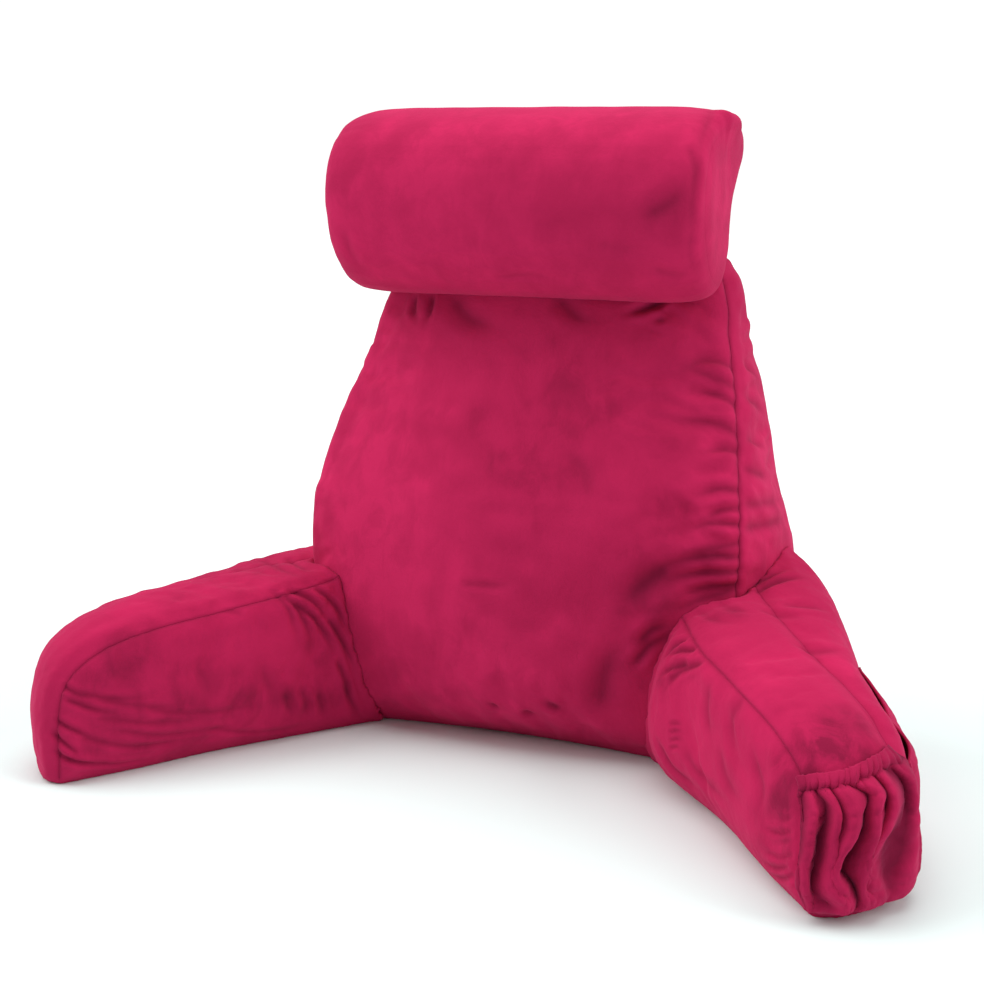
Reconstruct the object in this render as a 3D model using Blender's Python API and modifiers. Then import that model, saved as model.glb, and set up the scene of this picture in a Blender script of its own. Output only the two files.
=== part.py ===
"""Reading pillow with arms: a stuffed backrest cushion that stands on the floor or a bed.

A wedge-shaped back cushion carries two arm cushions that splay out at the front, a neck roll rests on the
back's top edge, and two cloth pockets hang on the arm at the viewer's right: a gathered one on its front
end and a flat one on its outer side.

Metres, +Z up, the sitter looks along -Y, and +X is at the viewer's right when the viewer faces the pillow.
Every cushion starts as a plain grid box or a sphere, and each pocket as a flat grid, whose points are
carried to a shape that a few named sizes and short tables give.
"""

import math
from collections import namedtuple

import bmesh
import bpy
from mathutils import Matrix, Vector

# ---------------------------------------------------------------- driving dimensions
BACK_HEIGHT = 0.556             # the back without the neck roll, 22 in
SEAT_HALF_WIDTH = 0.168         # half the seat between the arms at the base, 13.2 in across
ARM_SPLAY = math.radians(40)    # an arm's turn from straight ahead
ARM_ROOT = 0.086                # how far an arm reaches back beyond the seat's corner, into the back
ROLL_LENGTH = 0.438             # the neck roll from dome to dome
ROLL_AXIS = Vector((-0.007, 0.105, 0.608))
GAP = 0.0003                    # between two pieces that touch
CLOTH = 0.0026                  # thickness of the pockets' cloth
MIDDLE = Vector((0.0070, -0.0275, 0))  # the whole pillow's middle, from the middle of the back's base line

# ---------------------------------------------------------------- the back cushion
# One row for each height: the front panel's half width and where its side seam stands, how far the panel
# swells forward of the seams at its middle, then the rear panel's half width and place.
BackRow = namedtuple("BackRow", "height front_half seam_y swell rear_half rear_y")
BACK_ROWS = [
    BackRow(0.000, 0.205, 0.018, -0.020, 0.256, 0.195),
    BackRow(0.050, 0.226, 0.012, 0.022, 0.274, 0.206),
    BackRow(0.140, 0.250, 0.020, 0.050, 0.283, 0.214),
    BackRow(0.220, 0.258, 0.026, 0.060, 0.279, 0.216),
    BackRow(0.290, 0.253, 0.036, 0.062, 0.254, 0.214),
    BackRow(0.400, 0.230, 0.080, 0.056, 0.225, 0.210),
    BackRow(0.480, 0.210, 0.112, 0.048, 0.201, 0.206),
    BackRow(0.556, 0.202, 0.142, 0.030, 0.186, 0.200),
]
BACK_CUTS = (24, 6, 24)         # grid cells across, front to rear, and up
BACK_CORNER = 14.0              # exponent of the outline's rounded top corners
BACK_LEAN = 0.018               # the stuffing leans the top to the right
BACK_SIDE_SWELL = 0.006         # the side gussets bulge
BACK_REAR_SWELL = 0.014
BACK_TOP_SWELL = 0.012
BASE_TUCK = 0.010               # how far a cushion's skin turns in at its base
TUCK_SHARPNESS = 12             # and how low down it starts to: the power of the share of height left

# ---------------------------------------------------------------- the arm cushions
# One row for each place along the arm: distances across it from the inner base line to the inner edge of
# the base, the inner seam, the outer seam, the outer shoulder and the outer edge of the base, then the
# heights of the inner seam, the outer seam and the shoulder.
ArmRow = namedtuple("ArmRow", "along inner_base inner_seam outer_seam shoulder outer_base inner_top seam_top edge_top")
ARM_ROWS = [
    ArmRow(-0.086, 0.008, 0.057, 0.130, 0.192, 0.188, 0.190, 0.194, 0.196),
    ArmRow(-0.045, 0.008, 0.047, 0.130, 0.210, 0.206, 0.188, 0.192, 0.196),
    ArmRow(0.000, 0.008, 0.034, 0.124, 0.212, 0.208, 0.184, 0.190, 0.194),
    ArmRow(0.080, 0.008, 0.012, 0.112, 0.190, 0.186, 0.178, 0.185, 0.192),
    ArmRow(0.180, 0.008, 0.002, 0.106, 0.152, 0.154, 0.172, 0.178, 0.182),
    ArmRow(0.280, -0.002, 0.000, 0.102, 0.128, 0.134, 0.170, 0.176, 0.176),
    ArmRow(0.378, -0.006, 0.004, 0.094, 0.108, 0.116, 0.168, 0.172, 0.170),
]
ARM_CUTS = (22, 8, 10)          # grid cells along, across and up
ARM_CORNER = 4.8                # exponent of the rounded front end in the arm's side view
ARM_STRIP_SHARE = 0.625         # the grid line across the arm that lies on the outer seam
ARM_INNER_SWELL = 0.012
ARM_OUTER_SWELL = 0.014
ARM_STRIP_SWELL = 0.022         # crown of the strip that runs over the top and down the front
ARM_ROOT_CROWN = 0.3            # the share of that crown at the arm's root, where the strip is pulled flat
ARM_SHOULDER_ROUND = 0.018      # how far the outer shoulder is rounded off
ARM_END_ROUND = 0.012           # how far the front end's corners stand back
ARM_END_SKEW = 0.026            # how much shorter an arm is on its outer side
ROOT_BULGE_ALONG = 0.060        # where the stuffing at an arm's root pushes towards the seat
ROOT_BULGE_SPREAD = 0.050

# The arms differ as stuffed arms do. side is 1 at the viewer's right and -1 at the left; root_rise and
# end_rise lift the top at the two ends, and lean moves its inner edge outward at the front end.
Arm = namedtuple("Arm", "name side length root_rise end_rise lean root_bulge")
LEFT_ARM = Arm("left_arm", -1, 0.376, -0.010, 0.000, 0.000, -0.008)
RIGHT_ARM = Arm("right_arm", 1, 0.366, 0.056, -0.010, 0.012, 0.022)

# ---------------------------------------------------------------- the neck roll
# The roll's outline seen along its axis, anticlockwise from the front, as places behind and above the axis
# at even steps of turn. It is full at the front, pulled out at the upper rear and hollow at the lower rear.
RollRow = namedtuple("RollRow", "turn behind above")
ROLL_ROWS = [
    RollRow(-30, -0.088, -0.057),
    RollRow(0, -0.105, 0.000),
    RollRow(30, -0.092, 0.055),
    RollRow(60, -0.054, 0.090),
    RollRow(90, 0.000, 0.102),
    RollRow(115, 0.045, 0.100),
    RollRow(135, 0.084, 0.094),
    RollRow(150, 0.103, 0.080),
    RollRow(168, 0.094, 0.058),
    RollRow(190, 0.068, 0.030),
    RollRow(212, 0.046, 0.004),
    RollRow(235, 0.036, -0.030),
    RollRow(255, 0.030, -0.066),
    RollRow(278, 0.008, -0.100),
    RollRow(302, -0.042, -0.100),
    RollRow(330, -0.088, -0.057),
    RollRow(360, -0.105, 0.000),
]
ROLL_SEGMENTS = 40
ROLL_RINGS = 20
ROLL_RIM = 10.0                 # exponent of the rounded rim between barrel and cap

# ---------------------------------------------------------------- the pockets
POCKET_SEWN = 0.0008            # how far a pocket's sewn edges stand off the arm
# The end pocket covers the right arm's front end from its foot to its rim, as shares of the end's height,
# and the rim climbs from the inner to the outer seam.
END_POCKET_FOOT = 0.035
END_POCKET_RIM = (0.84, 0.92)
END_POCKET_ACROSS = (0.02, 0.98)
# One row for each height in the pocket, 0 at its foot and 1 at its rim: how far the cloth hangs out in
# front of the arm, and how deep its folds are.
EndPocketRow = namedtuple("EndPocketRow", "up hang fold")
END_POCKET_ROWS = [
    EndPocketRow(0.00, 0.0000, 0.0000),
    EndPocketRow(0.10, 0.0120, 0.0030),
    EndPocketRow(0.30, 0.0220, 0.0080),
    EndPocketRow(0.60, 0.0220, 0.0075),
    EndPocketRow(0.85, 0.0210, 0.0035),
    EndPocketRow(1.00, 0.0240, 0.0015),
]
END_POCKET_FOLDS = 4.5          # hanging folds across the pocket
END_POCKET_DRIFT = 0.9          # how far, in folds, they swing sideways from the rim to the foot
END_POCKET_CUTS = (36, 14)
# The side pocket lies on the right arm's outer side, as shares of the arm's length and height, and its rim
# falls towards the front.
SIDE_POCKET_REACH = (0.60, 0.93)
SIDE_POCKET_FOOT = 0.06
SIDE_POCKET_RIM = (0.88, 0.72)
SIDE_POCKET_HANG = 0.017        # how far the cloth hangs out from the arm
SIDE_POCKET_SKEW = 1.4          # over 1, it is fullest ahead of its middle
SIDE_POCKET_FULL = 0.62         # the share of its height from which it hangs out in full
SIDE_POCKET_CUTS = (22, 12)


# ---------------------------------------------------------------- small tools
def colour(hex_code):
    """An sRGB hex colour as linear red, green, blue and alpha."""
    channels = [int(hex_code[i:i + 2], 16) / 255 for i in (1, 3, 5)]
    linear = [c / 12.92 if c <= 0.04045 else ((c + 0.055) / 1.055) ** 2.4 for c in channels]
    return (*linear, 1.0)


def velour(name, hex_code):
    """Short-pile velour: rough, with no gloss."""
    material = bpy.data.materials.new(name)
    material.use_nodes = True
    shader = material.node_tree.nodes["Principled BSDF"]
    shader.inputs["Base Color"].default_value = colour(hex_code)
    shader.inputs["Roughness"].default_value = 0.9
    shader.inputs["Metallic"].default_value = 0.0
    shader.inputs["Sheen Weight"].default_value = 0.6
    return material


def mix(a, b, t):
    return a + (b - a) * t


def hill(t):
    """0 at both ends of 0..1 and 1 in the middle."""
    return 4 * t * (1 - t)


def along_table(rows, column, place):
    """The named column at a place in a table, on a smooth curve through the rows (the first column)."""
    keys = [row[0] for row in rows]
    values = [getattr(row, column) for row in rows]
    place = min(max(place, keys[0]), keys[-1])
    i = max(k for k in range(len(keys) - 1) if keys[k] <= place)

    def slope(k):
        low, high = max(k - 1, 0), min(k + 1, len(keys) - 1)
        return (values[high] - values[low]) / (keys[high] - keys[low])

    step = keys[i + 1] - keys[i]
    t = (place - keys[i]) / step
    return (values[i] * (1 + 2 * t) * (1 - t) ** 2 + values[i + 1] * t * t * (3 - 2 * t)
            + step * (slope(i) * t * (1 - t) ** 2 - slope(i + 1) * t * t * (1 - t)))


def round_corner(p, q, exponent):
    """Carries a point of the unit square to the square whose far corner is rounded as a superellipse."""
    far = max(abs(p), abs(q))
    if far == 0:
        return p, q
    shrink = ((abs(p) / far) ** exponent + (abs(q) / far) ** exponent) ** (-1 / exponent)
    return p * shrink, q * shrink


def grid_box(cuts):
    """A closed unit box, 0 to 1 on each axis, with its faces cut into a grid."""
    bm = bmesh.new()
    bmesh.ops.create_cube(bm, size=1, matrix=Matrix.Translation((0.5, 0.5, 0.5)))
    for axis, count in enumerate(cuts):
        normal = Vector((0, 0, 0))
        normal[axis] = 1
        for k in range(1, count):
            everything = bm.verts[:] + bm.edges[:] + bm.faces[:]
            bmesh.ops.bisect_plane(bm, geom=everything, dist=1e-6, plane_co=normal * (k / count), plane_no=normal)
    return bm


def flat_grid(cuts):
    """An open unit square, 0 to 1 on X and Y, cut into a grid."""
    bm = bmesh.new()
    middle = Matrix.Translation((0.5, 0.5, 0))
    bmesh.ops.create_grid(bm, x_segments=cuts[0], y_segments=cuts[1], size=0.5, matrix=middle)
    return bm


def shape(bm, place):
    """Moves every point of the mesh to place(point), and cuts the bent cells into triangles."""
    for vert in bm.verts:
        vert.co = place(vert.co.copy())
    bmesh.ops.triangulate(bm, faces=bm.faces)


def new_object(name, bm, material, collection):
    """Makes the named object from a bmesh, in the collection."""
    mesh = bpy.data.meshes.new(name)
    bm.to_mesh(mesh)
    bm.free()
    mesh.shade_smooth()
    if material:
        mesh.materials.append(material)
    obj = bpy.data.objects.new(name, mesh)
    collection.objects.link(obj)
    return obj


def cut_away(obj, cutter):
    """Cuts the cutter's shape out of the object."""
    boolean = obj.modifiers.new("Fitted to " + cutter.name, "BOOLEAN")
    boolean.operation = "DIFFERENCE"
    boolean.solver = "EXACT"
    boolean.object = cutter


def swollen_copy(name, obj, amount, collection):
    """A hidden cutter: the object's shape with its skin moved out by an amount."""
    bm = bmesh.new()
    bm.from_mesh(obj.data)
    bm.normal_update()
    steps = [vert.normal * amount * vert.calc_shell_factor() for vert in bm.verts]
    for vert, step in zip(bm.verts, steps):
        vert.co += step
    cutter = new_object(name, bm, None, collection)
    cutter.hide_render = True
    cutter.display_type = "WIRE"
    return cutter


# ---------------------------------------------------------------- the shapes
def to_frame(place):
    """From the seat's front base line to the pillow's own origin, under its middle."""
    return place - MIDDLE


def back_place(unit):
    """The back cushion's place for a point of the unit box: x across, y front to rear, z up."""
    across, up = round_corner(2 * unit.x - 1, unit.z, BACK_CORNER)
    height = up * BACK_HEIGHT
    middle = 1 - across * across
    half = mix(along_table(BACK_ROWS, "front_half", height), along_table(BACK_ROWS, "rear_half", height), unit.y)
    tuck = BASE_TUCK * (1 - up) ** TUCK_SHARPNESS
    front = along_table(BACK_ROWS, "seam_y", height) - along_table(BACK_ROWS, "swell", height) * middle + tuck
    rear = along_table(BACK_ROWS, "rear_y", height) + BACK_REAR_SWELL * middle * hill(up) - tuck
    x = across * (half + BACK_SIDE_SWELL * hill(unit.y) - tuck) + BACK_LEAN * up * up
    top = BACK_TOP_SWELL * hill(unit.y) * middle * up ** 8
    return Vector((x, mix(front, rear, unit.y), height + top))


def arm_local(unit, arm):
    """Along, across and height on an arm for a point of the unit box: x along, y inner to outer, z up."""
    far, up = round_corner(unit.x, unit.z, ARM_CORNER)
    return arm_skin(Vector((far, unit.y, up)), arm)


def arm_skin(unit, arm):
    """The same for a point of an arm's side view, whose front end is rounded already."""
    far, up = unit.x, unit.z
    along = mix(-ARM_ROOT, arm.length, far)
    row = {name: along_table(ARM_ROWS, name, along) for name in ArmRow._fields[1:]}
    free = hill(up) * (1 - far ** 6)
    tuck = BASE_TUCK * (1 - up) ** TUCK_SHARPNESS
    bulge = arm.root_bulge * math.exp(-((along - ROOT_BULGE_ALONG) / ROOT_BULGE_SPREAD) ** 2) * hill(up)
    rounding = ARM_SHOULDER_ROUND * (1 - far ** 3)
    crown = ARM_STRIP_SWELL * mix(ARM_ROOT_CROWN, 1, far ** 2)
    inner = mix(row["inner_base"], row["inner_seam"] + arm.lean * far ** 3, up)
    inner += tuck - ARM_INNER_SWELL * free - bulge
    outer = mix(row["outer_base"], row["shoulder"], up) + ARM_OUTER_SWELL * free - tuck - rounding * up ** 8

    # the grid line at ARM_STRIP_SHARE follows the outer seam, with the strip on one side of it
    strip = (row["outer_seam"] - row["inner_seam"]) / (row["shoulder"] - row["inner_seam"])
    strip = mix(ARM_STRIP_SHARE, strip, up)
    if unit.y <= ARM_STRIP_SHARE:
        over = unit.y / ARM_STRIP_SHARE
        share = strip * over
        top = mix(row["inner_top"], row["seam_top"], over) + crown * hill(over)
    else:
        over = (unit.y - ARM_STRIP_SHARE) / (1 - ARM_STRIP_SHARE)
        share = mix(strip, 1, over)
        top = mix(row["seam_top"], row["edge_top"], over) - rounding * over ** 4
    top += arm.root_rise * unit.y * (1 - far) ** 2 + arm.end_rise * far ** 2
    corner = abs(2 * unit.y - 1) ** 4
    end = ARM_STRIP_SWELL * hill(unit.y) / 2 - ARM_END_ROUND * corner - ARM_END_SKEW * unit.y
    return along + end * far ** 8, mix(inner, outer, share), up * top


def arm_place(arm, along, across, height):
    """A place from distances along, across and above an arm's inner base line."""
    forward = Vector((arm.side * math.sin(ARM_SPLAY), -math.cos(ARM_SPLAY), 0))
    outward = Vector((arm.side * math.cos(ARM_SPLAY), math.sin(ARM_SPLAY), 0))
    base = Vector((arm.side * SEAT_HALF_WIDTH, 0, height))
    return base + forward * along + outward * across


def roll_place(unit):
    """The neck roll's place for a point of the unit sphere, whose poles lie on Z and go to the ends."""
    ring = math.hypot(unit.x, unit.y) ** (2 / ROLL_RIM)
    turn = math.degrees(math.atan2(unit.y, unit.x)) % 360
    length = math.copysign(abs(unit.z) ** (2 / ROLL_RIM), unit.z) * ROLL_LENGTH / 2
    behind = along_table(ROLL_ROWS, "behind", turn) * ring
    above = along_table(ROLL_ROWS, "above", turn) * ring
    return ROLL_AXIS + Vector((length, behind, above))


def end_pocket_place(unit):
    """The end pocket's inner face for a point of the unit square: x across the arm, y from foot to rim."""
    rim = mix(*END_POCKET_RIM, unit.x)
    skin = Vector((1, mix(*END_POCKET_ACROSS, unit.x), mix(END_POCKET_FOOT, rim, unit.y)))
    along, across, height = arm_local(skin, RIGHT_ARM)
    free = hill(unit.x) ** 0.5
    phase = END_POCKET_FOLDS * unit.x + END_POCKET_DRIFT * math.sin(math.pi * unit.y)
    fold = along_table(END_POCKET_ROWS, "fold", unit.y) * math.cos(2 * math.pi * phase)
    hang = (along_table(END_POCKET_ROWS, "hang", unit.y) + fold) * free
    return arm_place(RIGHT_ARM, along + POCKET_SEWN + hang, across, height)


def side_pocket_place(unit):
    """The side pocket's inner face for a point of the unit square: x along the arm, y from foot to rim."""
    rim = mix(*SIDE_POCKET_RIM, unit.x)
    skin = Vector((mix(*SIDE_POCKET_REACH, unit.x), 1, mix(SIDE_POCKET_FOOT, rim, unit.y)))
    along, across, height = arm_skin(skin, RIGHT_ARM)
    fullness = hill(unit.x ** SIDE_POCKET_SKEW) * math.sin(math.pi / 2 * min(1, unit.y / SIDE_POCKET_FULL))
    hang = SIDE_POCKET_HANG * fullness
    return arm_place(RIGHT_ARM, along, across + POCKET_SEWN + hang, height)


# ---------------------------------------------------------------- the pieces
def build_back(parts):
    bm = grid_box(BACK_CUTS)
    shape(bm, lambda unit: to_frame(back_place(unit)))
    bmesh.ops.recalc_face_normals(bm, faces=bm.faces)
    return new_object("back_cushion", bm, velour("back_velour", "#CB285D"), parts)


def build_arm(arm, material, parts):
    bm = grid_box(ARM_CUTS)
    shape(bm, lambda unit: to_frame(arm_place(arm, *arm_local(unit, arm))))
    bmesh.ops.recalc_face_normals(bm, faces=bm.faces)
    return new_object(arm.name, bm, material, parts)


def build_roll(parts):
    bm = bmesh.new()
    bmesh.ops.create_uvsphere(bm, u_segments=ROLL_SEGMENTS, v_segments=ROLL_RINGS, radius=1)
    shape(bm, lambda unit: to_frame(roll_place(unit)))
    bmesh.ops.recalc_face_normals(bm, faces=bm.faces)
    return new_object("neck_roll", bm, velour("roll_velour", "#CF2C62"), parts)


def build_pocket(name, cuts, place, outward, material, parts):
    """A pocket: an open sheet whose normals face outward, thickened away from the arm."""
    bm = flat_grid(cuts)
    shape(bm, lambda unit: to_frame(place(unit)))
    bm.normal_update()
    facing = sum((face.normal * face.calc_area() for face in bm.faces), Vector())
    if facing.dot(outward) < 0:
        bmesh.ops.reverse_faces(bm, faces=bm.faces)
    pocket = new_object(name, bm, material, parts)
    cloth = pocket.modifiers.new("Cloth", "SOLIDIFY")
    cloth.thickness = CLOTH
    cloth.offset = 1
    cloth.use_even_offset = True
    return pocket


def main():
    for obj in list(bpy.data.objects):
        bpy.data.objects.remove(obj)
    parts = bpy.data.collections.new("reading_pillow")
    cutters = bpy.data.collections.new("cutters")
    bpy.context.scene.collection.children.link(parts)
    bpy.context.scene.collection.children.link(cutters)

    back = build_back(parts)
    arm_velour = velour("arm_velour", "#C6265A")
    fitted = [build_arm(arm, arm_velour, parts) for arm in (LEFT_ARM, RIGHT_ARM)]
    fitted.append(build_roll(parts))
    back_clearance = swollen_copy("back_clearance", back, GAP, cutters)
    for piece in fitted:
        cut_away(piece, back_clearance)

    pocket_velour = velour("pocket_velour", "#C2255A")
    forward = Vector((math.sin(ARM_SPLAY), -math.cos(ARM_SPLAY), 0))
    outward = Vector((math.cos(ARM_SPLAY), math.sin(ARM_SPLAY), 0))
    build_pocket("end_pocket", END_POCKET_CUTS, end_pocket_place, forward, pocket_velour, parts)
    build_pocket("side_pocket", SIDE_POCKET_CUTS, side_pocket_place, outward, pocket_velour, parts)


main()
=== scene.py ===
"""Dresses the reading pillow's frame: stuffed velour cushions with their seams and creases, two cloth
pockets on the right arm, and a pale studio.

The frame is in metres, +Z up; the sitter looks along -Y, and +X is at the viewer's right. Each cushion starts
as its solid, a little smaller, is blown up by a short cloth simulation with its seams held tighter than its
panels, and then gets the creases that its table lists.
"""

import math
from collections import namedtuple

import bmesh
import bpy
import numpy as np
from bpy.props import FloatProperty, FloatVectorProperty, PointerProperty
from mathutils import Matrix, Vector, noise
from mathutils.bvhtree import BVHTree


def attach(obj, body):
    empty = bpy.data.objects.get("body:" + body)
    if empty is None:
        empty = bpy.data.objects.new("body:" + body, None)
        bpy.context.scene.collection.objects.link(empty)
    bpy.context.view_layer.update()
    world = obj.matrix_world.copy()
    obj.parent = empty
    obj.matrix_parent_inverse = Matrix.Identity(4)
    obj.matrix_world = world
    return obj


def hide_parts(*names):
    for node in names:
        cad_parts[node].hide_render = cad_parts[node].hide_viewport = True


bl_info = {
    "name": "Reading pillow with arms",
    "version": (1, 0, 0),
    "blender": (4, 5, 0),
    "location": "3D View > Sidebar > Pillow",
    "description": "Dresses the reading pillow's frame in stuffed velour and sets it in a pale studio",
    "category": "Object",
}

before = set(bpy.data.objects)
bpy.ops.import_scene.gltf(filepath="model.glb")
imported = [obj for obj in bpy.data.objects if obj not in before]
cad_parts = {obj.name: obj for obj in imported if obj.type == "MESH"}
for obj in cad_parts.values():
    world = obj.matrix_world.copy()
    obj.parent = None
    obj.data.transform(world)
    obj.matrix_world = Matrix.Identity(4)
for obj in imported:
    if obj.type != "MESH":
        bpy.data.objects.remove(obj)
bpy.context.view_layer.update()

# ---------------- the cushions' sizes, as in their solids
MIDDLE = Vector((0.0070, -0.0275, 0))  # the whole pillow's middle, from the middle of the back's base line
BASE_TUCK = 0.010               # how far a cushion's skin turns in at its base
TUCK_SHARPNESS = 12             # and how low down it starts to: the power of the share of height left

# One row for each height of the back: the front panel's half width and where its side seam stands, how far
# the panel swells forward of the seams at its middle, then the rear panel's half width and place.
BackRow = namedtuple("BackRow", "height front_half seam_y swell rear_half rear_y")
BACK_ROWS = [
    BackRow(0.000, 0.205, 0.018, -0.020, 0.256, 0.195),
    BackRow(0.050, 0.226, 0.012, 0.022, 0.274, 0.206),
    BackRow(0.140, 0.250, 0.020, 0.050, 0.283, 0.214),
    BackRow(0.220, 0.258, 0.026, 0.060, 0.279, 0.216),
    BackRow(0.290, 0.253, 0.036, 0.062, 0.254, 0.214),
    BackRow(0.400, 0.230, 0.080, 0.056, 0.225, 0.210),
    BackRow(0.480, 0.210, 0.112, 0.048, 0.201, 0.206),
    BackRow(0.556, 0.202, 0.142, 0.030, 0.186, 0.200),
]
BACK_HEIGHT = 0.556
BACK_CORNER = 14.0              # exponent of the outline's rounded top corners
BACK_LEAN = 0.018               # the stuffing leans the top to the right
BACK_REAR_SWELL = 0.014
# The left and the right foot of its front seams and of its rear seam, in millimetres.
FRONT_FEET = ((-207, 54, 8), (193, 54, 8))
REAR_FEET = ((-258, 215, 8), (244, 215, 8))

# One row for each place along an arm: distances across it from the inner base line to the inner edge of the
# base, the inner seam, the outer seam, the outer shoulder and the outer edge of the base, then the heights of
# the inner seam, the outer seam and the shoulder.
ArmRow = namedtuple("ArmRow", "along inner_base inner_seam outer_seam shoulder outer_base "
                              "inner_top seam_top edge_top")
ARM_ROWS = [
    ArmRow(-0.086, 0.008, 0.057, 0.130, 0.192, 0.188, 0.190, 0.194, 0.196),
    ArmRow(-0.045, 0.008, 0.047, 0.130, 0.210, 0.206, 0.188, 0.192, 0.196),
    ArmRow(0.000, 0.008, 0.034, 0.124, 0.212, 0.208, 0.184, 0.190, 0.194),
    ArmRow(0.080, 0.008, 0.012, 0.112, 0.190, 0.186, 0.178, 0.185, 0.192),
    ArmRow(0.180, 0.008, 0.002, 0.106, 0.152, 0.154, 0.172, 0.178, 0.182),
    ArmRow(0.280, -0.002, 0.000, 0.102, 0.128, 0.134, 0.170, 0.176, 0.176),
    ArmRow(0.378, -0.006, 0.004, 0.094, 0.108, 0.116, 0.168, 0.172, 0.170),
]
ARM_SPLAY = math.radians(40)
ARM_ROOT = 0.086                # how far an arm reaches back beyond the seat's corner, into the back
ARM_ROUNDING = 4.8              # exponent of the rounded front end in the arm's side view
ARM_STRIP_SHARE = 0.625         # the share across the arm where the outer seam runs
ARM_INNER_SWELL = 0.012
ARM_OUTER_SWELL = 0.014
ARM_STRIP_SWELL = 0.022         # crown of the strip that runs over the top and down the front
ARM_ROOT_CROWN = 0.3            # the share of that crown at the arm's root, where the strip is pulled flat
ARM_SHOULDER_ROUND = 0.018      # how far the outer shoulder is rounded off
ARM_END_ROUND = 0.012           # how far the front end's corners stand back
ARM_END_SKEW = 0.026            # how much shorter an arm is on its outer side
ROOT_BULGE_ALONG = 0.060        # where the stuffing at an arm's root pushes towards the seat
ROOT_BULGE_SPREAD = 0.050

# The arms differ as stuffed arms do. side is 1 at the viewer's right and -1 at the left, and corner is the
# place where the inner base line leaves the seat. root_rise and end_rise lift the top at the two ends, and
# lean moves its inner edge outward at the front end. outer_pull says how tightly its outer seam is sewn, and
# its two seams end at their feet, in millimetres.
Arm = namedtuple("Arm", "side corner length root_rise end_rise lean root_bulge "
                        "outer_pull inner_foot outer_foot")
LEFT_ARM = Arm(-1, Vector((-0.175, 0.0275, 0)), 0.376, -0.010, 0.000, 0.000, -0.008,
               0.35, (-409, -251, 8), (-467, -210, 8))
RIGHT_ARM = Arm(1, Vector((0.161, 0.0275, 0)), 0.366, 0.056, -0.010, 0.012, 0.022,
                0.5, (390, -242, 8), (447, -202, 8))

# The neck roll's rim seen along its axis, and where its two caps are sewn on, in millimetres.
ROLL_RIM = [
    (51, 608), (53, 631), (61, 652), (73, 667), (91, 677), (112, 684), (132, 687), (153, 687), (176, 684),
    (199, 680), (213, 668), (208, 653), (196, 639), (180, 625), (169, 613), (162, 597), (159, 579),
    (156, 558), (147, 536), (129, 526), (104, 528), (82, 541), (65, 562), (55, 585), (51, 608)]
ROLL_CAPS = (-229, 201)

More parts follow.
